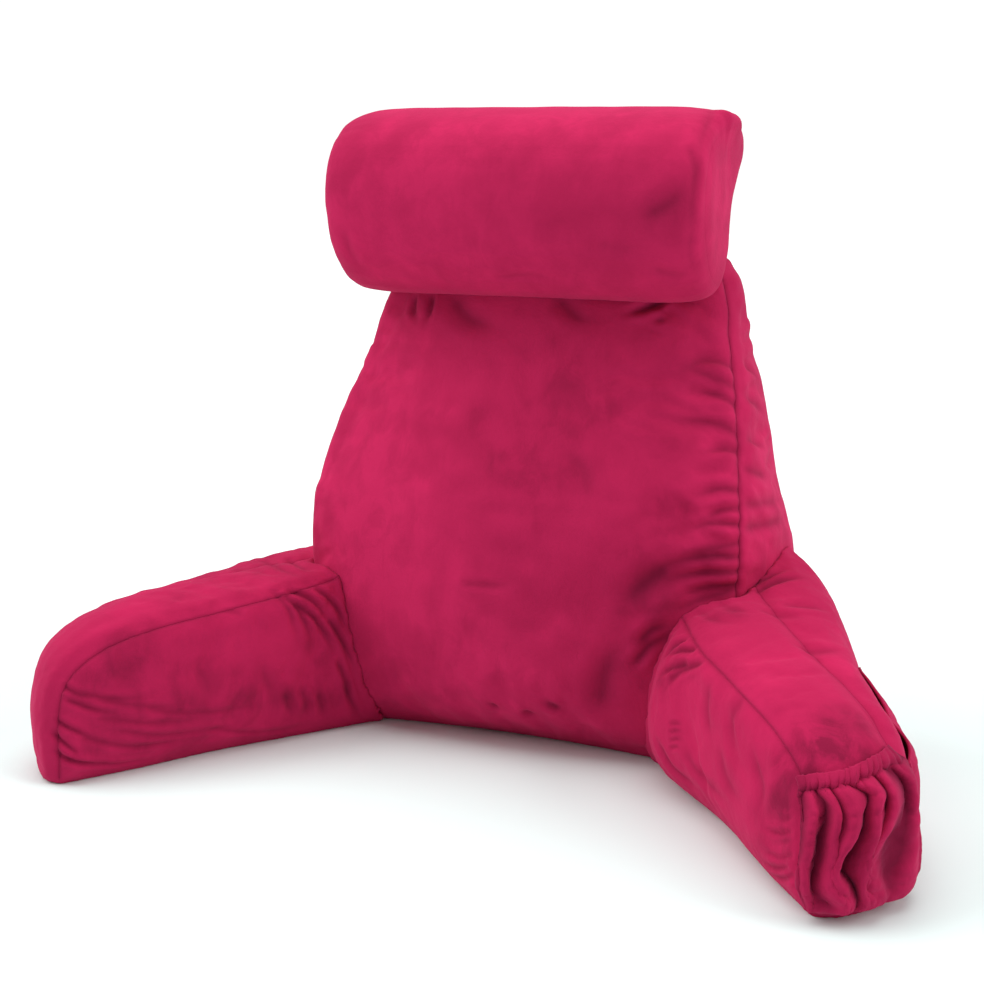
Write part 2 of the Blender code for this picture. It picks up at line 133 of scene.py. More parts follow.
# ---------------- the creases, in millimetres
# Each row has the places of a crease's deepest end, its bend and the end where it fades out, then its width
# and its depth. A crease with a depth under 0 is a ridge.
BACK_CREASES = [
    # puckers along the right seam, from the top down
    ((220, 121, 438), (190, 110, 443), (169, 97, 432), 8, 2.2),
    ((223, 112, 417), (202, 107, 426), (171, 99, 436), 6, 2.0),
    ((230, 106, 399), (209, 101, 409), (184, 94, 414), 6, 2.6),
    ((234, 93, 371), (209, 87, 381), (169, 73, 384), 7, 2.2),
    ((239, 87, 354), (223, 79, 354), (200, 68, 351), 5, 2.4),
    ((244, 70, 314), (222, 60, 315), (200, 47, 307), 6, 2.6),
    ((249, 65, 296), (230, 56, 294), (209, 43, 284), 5, 2.4),
    ((250, 60, 279), (222, 48, 281), (197, 36, 274), 5, 2.8),
    ((252, 57, 260), (224, 43, 255), (195, 31, 250), 6, 2.6),
    ((251, 54, 245), (212, 37, 246), (179, 25, 239), 6, 4.0),
    ((254, 54, 229), (217, 38, 229), (181, 25, 221), 6, 3.4),
    ((253, 53, 214), (223, 40, 213), (191, 27, 204), 6, 4.2),
    ((246, 49, 208), (214, 36, 199), (186, 25, 186), 7, 3.0),
    ((180, 25, 235), (150, 15, 209), (133, 10, 186), 15, 4.5),
    # where the panel is pinched under the roll
    ((-155, 128, 496), (-154, 121, 483), (-145, 111, 471), 5, 3.0),
    ((-132, 122, 498), (-130, 113, 482), (-132, 106, 468), 5, 3.4),
    ((-102, 114, 497), (-77, 99, 479), (-36, 88, 469), 12, 2.6),
    ((28, 106, 503), (54, 97, 485), (77, 98, 482), 10, 2.4),
    ((141, 125, 507), (127, 117, 498), (103, 106, 489), 5, 6.0),
    ((137, 112, 483), (141, 113, 484), (147, 115, 485), 4, 2.4),
    # faint creases and dimples over the seat
    ((-38, -5, 202), (2, -6, 204), (17, -6, 209), 5, 1.6),
    ((71, 29, 344), (89, 23, 325), (93, 14, 299), 12, 1.6),
    ((-18, 18, 57), (-15, 19, 55), (-10, 20, 52), 5, 3.2),
    ((20, 22, 51), (24, 23, 49), (30, 24, 45), 5, 3.0),
    ((52, 16, 69), (58, 16, 65), (66, 18, 60), 6, 3.6),
    # towards the arms
    ((154, 17, 153), (166, 20, 167), (186, 26, 174), 7, 3.6),
    ((150, 18, 129), (164, 20, 148), (190, 27, 163), 6, 3.4),
    ((110, 18, 79), (122, 12, 128), (138, 13, 152), 14, 2.6),
    # the right gusset
    ((227, 152, 435), (230, 172, 425), (231, 192, 414), 6, 1.8),
    ((235, 132, 401), (237, 154, 392), (239, 189, 378), 7, 2.0),
    ((242, 112, 361), (245, 136, 352), (247, 169, 343), 6, 2.0),
    ((246, 93, 332), (250, 116, 323), (253, 156, 311), 7, 2.2),
    ((252, 79, 297), (257, 125, 289), (259, 207, 275), 8, 2.0),
    ((254, 72, 273), (261, 124, 266), (266, 205, 253), 8, 2.3),
    # where the stuffing fills out the left and the right edge
    ((-225, 108, 398), (-246, 82, 340), (-262, 62, 280), 26, -3.5),
    ((-262, 62, 290), (-266, 57, 230), (-262, 50, 170), 28, -3.5),
    ((225, 236, 430), (245, 240, 340), (262, 242, 262), 24, -4.0),
    ((-190, 150, 506), (-201, 140, 480), (-214, 124, 440), 18, -6.0),
]
LEFT_ARM_CREASES = [
    # long folds that sweep from the top seam down to the back
    ((-243, -32, 178), (-227, -14, 163), (-213, 4, 134), 4, 3.0),
    ((-213, 4, 134), (-200, 15, 104), (-190, 22, 70), 4, 3.2),
    ((-243, -40, 172), (-232, -27, 145), (-225, -19, 115), 4, 2.8),
    ((-258, -47, 178), (-242, -42, 158), (-235, -37, 122), 4, 1.8),
    ((-223, -4, 173), (-210, 14, 150), (-199, 21, 118), 4, 3.0),
    ((-237, -32, 162), (-221, -10, 137), (-209, 4, 100), 4, 3.4),
    ((-205, 6, 85), (-198, 12, 60), (-195, 15, 37), 4, 2.8),
    # soft upright folds over the base
    ((-243, -52, 61), (-241, -47, 45), (-241, -42, 29), 6, 2.2),
    ((-232, -33, 61), (-230, -28, 43), (-230, -24, 19), 5, 2.0),
    ((-220, -16, 52), (-218, -11, 36), (-218, -7, 17), 5, 2.2),
    ((-198, 12, 53), (-193, 20, 29), (-189, 32, 10), 5, 2.6),
    ((-274, -98, 77), (-281, -105, 59), (-281, -98, 36), 7, 1.5),
    ((-257, -77, 93), (-253, -68, 70), (-257, -71, 49), 8, 1.5),
    ((-303, -137, 109), (-297, -130, 91), (-299, -132, 75), 9, 1.2),
    ((-284, -100, 167), (-275, -90, 163), (-281, -98, 158), 4, 1.0),
    # fine wrinkles that run back from the front seam
    ((-406, -251, 74), (-390, -237, 61), (-380, -228, 52), 3.5, 2.8),
    ((-412, -252, 60), (-398, -245, 47), (-390, -237, 33), 3.5, 2.8),
    ((-397, -242, 97), (-379, -226, 85), (-357, -204, 74), 4, 2.4),
    ((-388, -233, 102), (-358, -205, 92), (-328, -170, 89), 4, 1.8),
    ((-373, -221, 73), (-336, -178, 59), (-296, -123, 52), 4, 1.8),
    ((-385, -233, 53), (-351, -192, 34), (-314, -140, 29), 4, 2.0),
    ((-410, -253, 41), (-394, -240, 29), (-374, -215, 18), 3.5, 2.4),
    ((-400, -243, 111), (-391, -236, 103), (-385, -231, 99), 3.5, 2.4),
    ((-337, -181, 75), (-303, -135, 60), (-260, -75, 52), 4, 1.5),
    ((-359, -206, 56), (-326, -161, 40), (-282, -98, 33), 4, 1.6),
    ((-373, -220, 93), (-337, -181, 78), (-309, -145, 74), 4, 1.6),
    ((-300, -122, 35), (-266, -71, 18), (-222, -10, 15), 4, 1.3),
    ((-405, -252, 34), (-380, -217, 20), (-350, -167, 14), 3.5, 1.6),
    # on the strip over the top
    ((-321, 45, 184), (-276, 6, 188), (-228, -9, 180), 6, 1.8),
    ((-296, 62, 184), (-263, 26, 189), (-231, 6, 184), 5, 1.8),
]
RIGHT_ARM_CREASES = [
    # inner side: folds at the back's corner
    ((211, -17, 170), (197, -11, 156), (186, -8, 146), 5, 3.4),
    ((228, -41, 169), (210, -26, 160), (193, -12, 149), 4, 3.4),
    ((222, -46, 155), (205, -34, 143), (188, -22, 130), 4, 3.4),
    ((243, -64, 163), (216, -45, 145), (198, -42, 120), 4.5, 3.0),
    # short marks one over the other
    ((212, -56, 92), (218, -61, 95), (225, -65, 96), 2.5, 1.4),
    ((212, -57, 83), (218, -61, 87), (226, -66, 88), 2.5, 1.4),
    ((212, -57, 75), (220, -62, 79), (228, -68, 80), 2.5, 1.4),
    ((213, -56, 66), (221, -62, 71), (228, -67, 71), 2.5, 1.4),
    # wrinkles that run in from the pocket's sewn edge
    ((370, -223, 84), (362, -217, 79), (355, -211, 77), 3, 1.2),
    ((372, -225, 73), (358, -214, 64), (341, -198, 60), 3, 1.8),
    ((373, -227, 66), (365, -220, 60), (357, -213, 56), 2.5, 1.0),
    ((375, -230, 53), (360, -217, 42), (338, -195, 38), 3, 1.5),
    ((371, -227, 39), (355, -210, 28), (337, -185, 19), 3.5, 2.2),
    ((377, -233, 35), (362, -217, 22), (346, -190, 12), 3.5, 2.0),
    # broad soft folds
    ((299, -134, 157), (292, -134, 127), (300, -147, 105), 8, 1.5),
    ((261, -91, 147), (259, -94, 121), (269, -109, 100), 8, 1.6),
    ((236, -73, 67), (255, -90, 55), (294, -138, 55), 7, 1.6),
    ((196, -43, 62), (216, -51, 40), (248, -76, 33), 6, 2.2),
    ((325, -175, 115), (337, -191, 94), (332, -187, 61), 8, 1.8),
    ((284, -128, 95), (293, -140, 76), (313, -165, 69), 8, 1.4),
    # on the strip over the top
    ((217, 22, 190), (241, -5, 190), (269, -14, 193), 6, 1.4),
    ((238, 32, 199), (257, 13, 197), (274, 17, 198), 6, 1.2),
    # outer gusset
    ((260, 84, 211), (270, 96, 214), (284, 118, 216), 6, 3.6),
    ((269, 72, 208), (284, 88, 212), (306, 112, 208), 6, 3.2),
    ((308, 41, 201), (330, 49, 201), (347, 61, 194), 7, 1.8),
    ((283, 22, 198), (308, 20, 195), (329, 20, 195), 6, 1.2),
    ((336, -41, 182), (360, -33, 181), (377, -19, 175), 8, 1.6),
    # where the stuffing fills out the shoulder behind the side pocket
    ((372, 2, 176), (388, -40, 173), (402, -76, 167), 18, -3.5),
]
ROLL_CREASES = [
    # along the right cap, then the hollow beside it
    ((185, 128, 704), (194, 64, 676), (196, 47, 649), 5, 1.0),
    ((195, 47, 652), (193, 36, 615), (191, 42, 577), 5, 1.1),
    ((191, 41, 581), (189, 47, 561), (192, 64, 540), 5, 0.8),
    ((151, 30, 602), (174, 30, 615), (187, 36, 630), 12, 2.4),
    # the cap's full upper corner
    ((205, 112, 697), (211, 140, 698), (213, 192, 684), 17, -13.0),
    ((186, 49, 666), (192, 43, 647), (192, 37, 627), 5, 1.2),
    ((152, 50, 545), (172, 56, 540), (189, 59, 543), 8, 1.2),
    # faint ones
    ((39, 32, 589), (53, 32, 592), (70, 32, 590), 6, 0.4),
    ((-26, 63, 529), (10, 58, 534), (37, 63, 529), 6, 0.8),
    ((-201, 38, 573), (-198, 48, 550), (-189, 61, 533), 7, 1.0),
    ((96, 37, 570), (123, 38, 567), (139, 37, 571), 9, 0.7),
]

# ---------------- how the nap lies, and where light and shade are painted, in millimetres
# Each row has a patch's place, its reach and how much darker the velour is drawn there, or lighter under 0.
# On the back, the lighter patches on its left side, low in its middle, on its right gusset and over the whole
# panel are painted light; the darker ones over its middle, by its creases and in its dimples are painted
# shade.
BACK_NAP_AND_SHADING = [
    ((-166, 46, 331), 75, -0.9), ((-178, 100, 426), 50, -0.8), ((-167, 18, 232), 65, -0.9),
    ((-60, 14, 85), 110, -0.9), ((36, 83, 462), 60, 0.4), ((36, 38, 370), 75, 0.5),
    ((98, 72, 423), 55, 0.4), ((143, 40, 334), 55, 0.5), ((20, 5, 298), 65, 0.4),
    ((164, 18, 198), 32, 0.9), ((152, 17, 242), 28, 0.5), ((180, 32, 284), 30, 0.4),
    ((69, -2, 193), 45, 0.4), ((212, 37, 243), 16, 0.4), ((143, 20, 94), 30, 0.4),
    ((-15, 19, 55), 7, 0.8), ((24, 23, 49), 7, 0.7), ((58, 16, 65), 8, 0.8),
    ((-20, 10, 300), 260, -0.15), ((262, 150, 300), 110, -0.9),
]
# On the left arm, the small dark patches are partly the nap's own marks and partly painted shade in the
# creases
# they sit in; the broad dark patch low on the inner face is painted shade, and the other broad one darkens
# the top.
LEFT_ARM_NAP_AND_SHADING = [
    ((-351, -192, 137), 24, 0.9), ((-215, -7, 91), 15, 1.0), ((-242, -48, 49), 15, 0.9),
    ((-385, -230, 106), 16, 0.8), ((-364, -211, 87), 20, 0.7), ((-316, -154, 81), 26, 0.7),
    ((-278, -101, 58), 22, 0.6), ((-374, -221, 50), 24, 0.6), ((-333, -170, 38), 26, 0.6),
    ((-209, 7, 121), 14, 0.8), ((-219, -14, 44), 22, 0.8), ((-256, -74, 71), 22, 0.7),
    ((-226, -21, 118), 14, 0.5), ((-195, 15, 50), 16, 0.6), ((-404, -250, 65), 14, 0.5),
    ((-280, -105, 131), 38, -0.4), ((-316, -151, 129), 22, -0.3),
    ((-300, -130, 45), 110, 0.4), ((-330, -30, 185), 120, 0.4),
]
# On the right arm, the small dark patches are partly the nap's own marks and partly painted shade in its
# creases
# and by the pockets' rims.
RIGHT_ARM_NAP_AND_SHADING = [
    ((245, 5, 194), 16, 0.8), ((264, 4, 196), 14, 0.6), ((391, -188, 152), 27, 1.0),
    ((410, -193, 145), 24, 0.9), ((381, -200, 145), 24, 1.0), ((367, -217, 99), 24, 1.0),
    ((400, -203, 138), 42, 0.6), ((361, -214, 78), 38, 0.7),
    ((349, -197, 122), 16, 0.5), ((338, -191, 34), 20, 0.5), ((360, -215, 29), 20, 0.6),
    ((222, -63, 84), 12, 0.3), ((300, -149, 86), 18, 0.4), ((200, -35, 130), 18, 0.6),
    ((305, -120, 165), 40, -0.5), ((248, -84, 111), 25, -0.3), ((360, -40, 180), 50, -0.5),
]
# On the roll, the lighter patches are painted light: broadly over its front, over its left part and along its
# top,
# and as a highlight band on its right cap. The two dark patches in the hollow beside that cap are painted
# shade,
# and the other dark ones are the nap's own marks.
ROLL_NAP_AND_SHADING = [
    ((172, 30, 612), 28, 0.6), ((156, 31, 597), 28, 0.3), ((98, 28, 606), 55, 0.25),
    ((53, 31, 636), 55, 0.2), ((128, 39, 565), 42, 0.2), ((-153, 28, 612), 60, -0.3),
    ((-111, 42, 665), 50, -0.3), ((64, 61, 686), 60, -0.3), ((0, 40, 590), 240, -0.6),
    ((208, 110, 620), 60, -0.7),
]


# ---------------- small tools
def linear(hex_code):
    """An sRGB hex colour as linear red, green and blue."""
    channels = [int(hex_code[i:i + 2], 16) / 255 for i in (1, 3, 5)]
    return tuple(c / 12.92 if c <= 0.04045 else ((c + 0.055) / 1.055) ** 2.4 for c in channels)


def smoothstep(low, high, value):
    share = np.clip((value - low) / (high - low), 0, 1)
    return share * share * (3 - 2 * share)


def bell(distance, width):
    """1 in the middle, falling off smoothly with the distance."""
    return np.exp(-(distance / width) ** 2)


def mix(a, b, t):
    return a + (b - a) * t


def hill(t):
    """0 at both ends of 0..1 and 1 in the middle."""
    return 4 * t * (1 - t)


def on_curve(keys, values, place):
    """The value at a place on a smooth curve through keys and their values."""
    place = min(max(place, keys[0]), keys[-1])
    i = max(k for k in range(len(keys) - 1) if keys[k] <= place)

    def slope(k):
        low, high = max(k - 1, 0), min(k + 1, len(keys) - 1)
        return (values[high] - values[low]) / (keys[high] - keys[low])

    step = keys[i + 1] - keys[i]
    t = (place - keys[i]) / step
    return (values[i] * (1 + 2 * t) * (1 - t) ** 2 + values[i + 1] * t * t * (3 - 2 * t)
            + step * (slope(i) * t * (1 - t) ** 2 - slope(i + 1) * t * t * (1 - t)))


def row_at(rows, place):
    """A table's row at a place, on smooth curves through its rows. The first column holds their places."""
    columns = list(zip(*rows))
    return type(rows[0])(place, *(on_curve(columns[0], column, place) for column in columns[1:]))


def placed(name, data):
    """A new object with this data, in the scene."""
    obj = bpy.data.objects.new(name, data)
    bpy.context.scene.collection.objects.link(obj)
    return obj


def object_from(bm, name):
    """A new object made from a bmesh."""
    mesh = bpy.data.meshes.new(name)
    bm.to_mesh(mesh)
    bm.free()
    return placed(name, mesh)


def read(mesh, what="co"):
    """The places or normals of a mesh's points as an array."""
    values = np.empty(len(mesh.vertices) * 3, np.float32)
    mesh.vertices.foreach_get(what, values)
    return values.reshape(-1, 3).astype(float)


def write(mesh, places):
    mesh.vertices.foreach_set("co", places.astype(np.float32).ravel())
    mesh.update()


def smooth_line(points, cuts=6):
    """A Catmull-Rom line through points given in millimetres, as an array in metres."""
    points = np.array(points, float) / 1000
    before = np.vstack([2 * points[0] - points[1], points[:-1]])[:-1]
    first, second = points[:-1], points[1:]
    after = np.vstack([points[2:], 2 * points[-1] - points[-2]])
    line = []
    for k in range(cuts):
        t = k / cuts
        line.append(0.5 * (2 * first + (second - before) * t
                           + (2 * before - 5 * first + 4 * second - after) * t * t
                           + (3 * first - before - 3 * second + after) * t ** 3))
    return np.vstack([np.stack(line, axis=1).reshape(-1, 3), points[-1]])


def measured(places, normals, line, reach):
    """For each place near a line: its signed distance from it, and how far along the line its foot is."""
    signed = np.full(len(places), 1.0)
    along = np.zeros(len(places))
    inside = (places > line.min(axis=0) - reach) & (places < line.max(axis=0) + reach)
    near = np.all(inside, axis=1).nonzero()[0]
    spots = places[near]
    best = np.full(len(near), np.inf)
    side = np.zeros(len(near))
    where = np.zeros(len(near))
    passed = 0.0
    for start, end in zip(line[:-1], line[1:]):
        step = end - start
        length = np.linalg.norm(step)
        if length == 0:
            continue
        share = np.clip((spots - start) @ step / length ** 2, 0, 1)
        apart = spots - start - share[:, None] * step
        distance = np.linalg.norm(apart, axis=1)
        closer = distance < best
        best[closer] = distance[closer]
        where[closer] = passed + share[closer] * length
        side[closer] = np.einsum("ij,ij->i", np.cross(step, apart[closer]), normals[near][closer])
        passed += length
    signed[near] = np.where(side < 0, -best, best)
    along[near] = where
    return signed, along, passed


def applied(obj, kind, **settings):
    """Gives the object a modifier and makes its result the object's mesh."""
    modifier = obj.modifiers.new(kind, kind)
    for name, value in settings.items():
        setattr(modifier, name, value)
    keep_result(obj)


def keep_result(obj):
    """Makes the mesh that the object's modifiers show its own, without them."""
    shown = obj.evaluated_get(bpy.context.evaluated_depsgraph_get())
    finished = bpy.data.meshes.new_from_object(shown)
    spent = obj.data
    obj.modifiers.clear()
    obj.data = finished
    bpy.data.meshes.remove(spent)


def tree_of(mesh):
    return BVHTree.FromPolygons([v.co for v in mesh.vertices], [p.vertices for p in mesh.polygons])


def solid_copy(node, name):
    """A new object with the node's mesh, its loose triangles merged."""
    bm = bmesh.new()
    bm.from_mesh(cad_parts[node].data)
    bmesh.ops.remove_doubles(bm, verts=bm.verts, dist=0.00001)
    return object_from(bm, name)


def evened(values, mesh, rounds):
    """Averages a value over each point's neighbours, again and again."""
    ends = np.empty(len(mesh.edges) * 2, np.int32)
    mesh.edges.foreach_get("vertices", ends)
    first, second = ends[0::2], ends[1::2]
    points = len(values)
    count = np.bincount(ends, minlength=points)
    for _ in range(rounds):
        total = np.bincount(first, values[second], points) + np.bincount(second, values[first], points)
        values = (values + total / count) / 2
    return values


# ---------------- the solids' skins and their seams
def round_corner(p, q, exponent):
    """Carries a point of the unit square to the square whose far corner is rounded as a superellipse."""
    far = max(abs(p), abs(q))
    shrink = ((abs(p) / far) ** exponent + (abs(q) / far) ** exponent) ** (-1 / exponent)
    return p * shrink, q * shrink


def back_rim(rear, side, up):
    """A place on the edge of the back's front panel, or of its rear one: side is -1 to 1, and up 0 to 1."""
    across, up = round_corner(side, up, BACK_CORNER)
    row = row_at(BACK_ROWS, up * BACK_HEIGHT)
    middle = 1 - across * across
    tuck = BASE_TUCK * (1 - up) ** TUCK_SHARPNESS
    x = across * ((row.rear_half if rear else row.front_half) - tuck) + BACK_LEAN * up * up
    if rear:
        y = row.rear_y + BACK_REAR_SWELL * middle * hill(up) - tuck
    else:
        y = row.seam_y - row.swell * middle + tuck
    return Vector((x, y, row.height)) - MIDDLE


def arm_skin(arm, far, over, up):
    """Along, across and height on an arm's skin, for shares of its length, width and height."""
    along = mix(-ARM_ROOT, arm.length, far)
    row = row_at(ARM_ROWS, along)
    free = hill(up) * (1 - far ** 6)
    tuck = BASE_TUCK * (1 - up) ** TUCK_SHARPNESS
    bulge = arm.root_bulge * math.exp(-((along - ROOT_BULGE_ALONG) / ROOT_BULGE_SPREAD) ** 2) * hill(up)
    rounding = ARM_SHOULDER_ROUND * (1 - far ** 3)
    crown = ARM_STRIP_SWELL * mix(ARM_ROOT_CROWN, 1, far ** 2)
    inner = mix(row.inner_base, row.inner_seam + arm.lean * far ** 3, up)
    inner += tuck - ARM_INNER_SWELL * free - bulge
    outer = mix(row.outer_base, row.shoulder, up) + ARM_OUTER_SWELL * free - tuck - rounding * up ** 8
    strip = mix(ARM_STRIP_SHARE, (row.outer_seam - row.inner_seam) / (row.shoulder - row.inner_seam), up)
    if over <= ARM_STRIP_SHARE:
        part = over / ARM_STRIP_SHARE
        share = strip * part
        top = mix(row.inner_top, row.seam_top, part) + crown * hill(part)
    else:
        part = (over - ARM_STRIP_SHARE) / (1 - ARM_STRIP_SHARE)
        share = mix(strip, 1, part)
        top = mix(row.seam_top, row.edge_top, part) - rounding * part ** 4
    top += arm.root_rise * over * (1 - far) ** 2 + arm.end_rise * far ** 2
    corner = abs(2 * over - 1) ** 4
    end = ARM_STRIP_SWELL * hill(over) / 2 - ARM_END_ROUND * corner - ARM_END_SKEW * over
    return along + end * far ** 8, mix(inner, outer, share), up * top


def arm_ways(arm):
    """The ways forward along an arm, and outward across it."""
    ahead, aside = math.cos(ARM_SPLAY), math.sin(ARM_SPLAY)
    return Vector((arm.side * aside, -ahead, 0)), Vector((arm.side * ahead, aside, 0))


def arm_place(arm, along, across, height):
    """A place from distances along, across and above an arm's inner base line."""
    forward, outward = arm_ways(arm)
    return arm.corner + forward * along + outward * across + Vector((0, 0, height))


def arm_rim(arm, over, far, up):
    """Along, across and height on an arm's top (up is 1) or front end (far is 1), at a share across it."""
    far, up = round_corner(far, up, ARM_ROUNDING)
    return arm_skin(arm, far, over, up)


# A seam's pull says how tightly it is sewn, and its places are in whole millimetres.
Seam = namedtuple("Seam", "pull places")
TWELFTHS = [k / 12 for k in range(1, 13)]


def in_mm(places):
    return [tuple(round(1000 * c) for c in place) for place in places]


def back_seams():
    """The front panel's two side seams, and the rear panel's seam up, over and down."""
    left, right = (in_mm(back_rim(False, side, up) for up in TWELFTHS) for side in (-1, 1))
    rear = [back_rim(True, -1, up) for up in TWELFTHS]
    rear += [back_rim(True, fifths / 5, 1) for fifths in (-4, -2, 0, 2, 4)]
    rear += [back_rim(True, 1, up) for up in reversed(TWELFTHS)]
    return [Seam(0.2, [FRONT_FEET[0], *left]), Seam(1.0, [FRONT_FEET[1], *right]),
            Seam(0.3, [REAR_FEET[0], *in_mm(rear), REAR_FEET[1]])]


def arm_seams(arm):
    """The two seams of the strip that runs over an arm's top and down its front end."""
    lines = []
    for over, pull, foot in ((0, 0.8, arm.inner_foot), (ARM_STRIP_SHARE, arm.outer_pull, arm.outer_foot)):
        top = [arm_rim(arm, over, far, 1) for far in TWELFTHS]
        end = [arm_rim(arm, over, 1, tenths / 10) for tenths in range(9, 1, -1)]
        lines.append(Seam(pull, [*in_mm(arm_place(arm, *place) for place in top + end), foot]))
    return lines


def roll_seams():
    """The seams of the two caps."""
    left, right = ([(cap, y, z) for y, z in ROLL_RIM] for cap in ROLL_CAPS)
    return [Seam(0.1, left), Seam(0.15, right)]


# ---------------- the stuffing
# Where a cushion touches its neighbour or the floor its skin is held, and it comes free over these distances:
# first for the simulation, then for the seams and creases.
HELD_TO_NEIGHBOUR = ((0.002, 0.016), (0.001, 0.010))
HELD_TO_FLOOR = ((0.001, 0.016), (0.000, 0.010))
NEIGHBOURHOOD = 0.03            # how far off a neighbour is looked for
SIM_FRAMES = 20
LAID_BACK = 0.85                # how far the smoothed skin is laid back on its solid
WRINKLE = 0.003                 # the deepest wrinkle that is kept from the simulation
TUCK_HEIGHT = 0.018             # how high over the floor the skin starts to turn in
CUSHION_GAP = 0.0004            # between two cushions that touch


def clearance(places, neighbour):
    """Each place's distance from the neighbour's surface, as far as it is looked for."""
    if neighbour is None:
        return np.full(len(places), NEIGHBOURHOOD)
    found = [neighbour.find_nearest(Vector(place), NEIGHBOURHOOD)[3] for place in places]
    return np.array([NEIGHBOURHOOD if d is None else d for d in found])


def free_share(places, near, stands, stage):
    """0 where the skin is held and 1 where it is free."""
    free = smoothstep(*HELD_TO_NEIGHBOUR[stage], near)
    return free * smoothstep(*HELD_TO_FLOOR[stage], places[:, 2]) if stands else free


def even_skin(obj, grain):
    """Gives a cushion an even grid of points on its solid."""
    own = tree_of(obj.data)
    applied(obj, "REMESH", mode="VOXEL", voxel_size=grain, use_smooth_shade=True)
    applied(obj, "SMOOTH", factor=0.5, iterations=5)
    # the smoothing shrinks the copy, so it is laid back on its solid
    places = read(obj.data)
    places += LAID_BACK * (np.array([own.find_nearest(Vector(place))[0] for place in places]) - places)
    write(obj.data, places)
    applied(obj, "SMOOTH", factor=0.5, iterations=1)


def blow_up(obj, held, gathered, pressure):
    """Swells the closed skin by a cloth simulation. Held points stay, and gathered ones are sewn tighter."""
    for name, weights in (("held", held), ("gathered", gathered)):
        group = obj.vertex_groups.new(name=name)
        for k in weights.nonzero()[0]:
            group.add([int(k)], float(weights[k]), "REPLACE")
    cloth = obj.modifiers.new("Stuffing", "CLOTH")
    settings = cloth.settings
    settings.quality = 4
    settings.tension_stiffness = 12
    settings.compression_stiffness = 12
    settings.shear_stiffness = 4
    settings.bending_stiffness = 0.4
    settings.vertex_group_mass = "held"
    settings.vertex_group_shrink = "gathered"
    settings.shrink_min = -0.02
    settings.shrink_max = 0.06
    settings.use_pressure = True
    settings.uniform_pressure_force = pressure
    settings.effector_weights.gravity = 0
    cloth.point_cache.frame_end = SIM_FRAMES
    for number in range(1, SIM_FRAMES + 1):
        bpy.context.scene.frame_set(number)
    keep_result(obj)
    bpy.context.scene.frame_set(1)
    obj.vertex_groups.clear()


def swell(obj, seams, neighbour, stands, wrinkle, full):
    """Swells a cushion's skin by its stuffing. The wrinkles stay as they came, and the broad swelling under
    them only within the swell."""
    pad = bpy.context.scene.pillow_stuffing
    solid = read(obj.data)
    normals = read(obj.data, "normal")
    free = free_share(solid, clearance(solid, neighbour), stands, 0)
    write(obj.data, solid - normals * (pad.slack * free)[:, None])
    gathered = np.zeros(len(solid))
    for seam in seams:
        distance, _, _ = measured(solid, normals, smooth_line(seam.places), 0.03)
        gathered = np.maximum(gathered, seam.pull * bell(distance, 0.012))
    blow_up(obj, 1 - free, gathered, pad.pressure)
    risen = np.einsum("ij,ij->i", read(obj.data) - solid, normals)
    broad = evened(risen, obj.data, 60)
    kept = (full * (pad.fullness + pad.swell * np.tanh(np.maximum(broad, 0) / pad.swell))
            + wrinkle * np.clip(risen - broad, -WRINKLE, WRINKLE))
    write(obj.data, solid + normals * (kept * free)[:, None])


def laid_on(points, tree):
    """A smooth line through points given in millimetres, laid on a surface."""
    line = smooth_line(points)
    return np.array([tree.find_nearest(Vector(place))[0] for place in line])


def crease_push(places, crease, tree):
    """How far a crease pushes each place in, and how much painted shade it gets there."""
    deep, bend, fade, width, depth = crease
    width /= 1000
    distance, along, length = measured(places, places, laid_on([deep, bend, fade], tree), 4 * width)
    distance = np.abs(distance) / width
    share = along / length
    strength = smoothstep(-0.15, 0.12, share) * (1 - smoothstep(0.45, 1.05, share) * 0.85)
    trough = 0.6 * bell(distance, 1) + 0.4 * bell(distance, 0.5)
    # a trough has a soft shoulder on each side, and a ridge has none
    shoulder = 0.45 * bell(distance - 1.8, 0.8) if depth > 0 else 0
    shade = strength * trough * min(1, max(0, depth) / 3.5)
    return depth / 1000 * strength * (trough - shoulder), shade


def lumps(places, size, seed):
    """Soft unevenness from the stuffing, -1 to 1."""
    return np.array([noise.noise(Vector(place) / size + Vector((seed, 0, 0))) for place in places])


def nap_shares(places, patches):
    """How much darker the velour is drawn at each place, in patches with uneven edges: nap, and painted light
    and shade.
    """
    uneven = np.array([noise.noise_vector(Vector(place) / 0.03) for place in places])
    darker = 0
    for place, reach, dark in patches:
        apart = places * 1000 / reach + uneven - np.array(place) / reach
        darker = darker + dark * np.exp(-(apart ** 2).sum(axis=1))
    return darker


def seam_push(distance):
    """How far a seam draws the skin in: a narrow groove, and a broad hollow between two low swells."""
    pad = bpy.context.scene.pillow_stuffing
    hollow = bell(distance, 0.008) - 0.6 * bell(np.abs(distance) - 0.018, 0.010)
    return pad.seam_depth * bell(distance, 0.0026) + pad.seam_draw * hollow


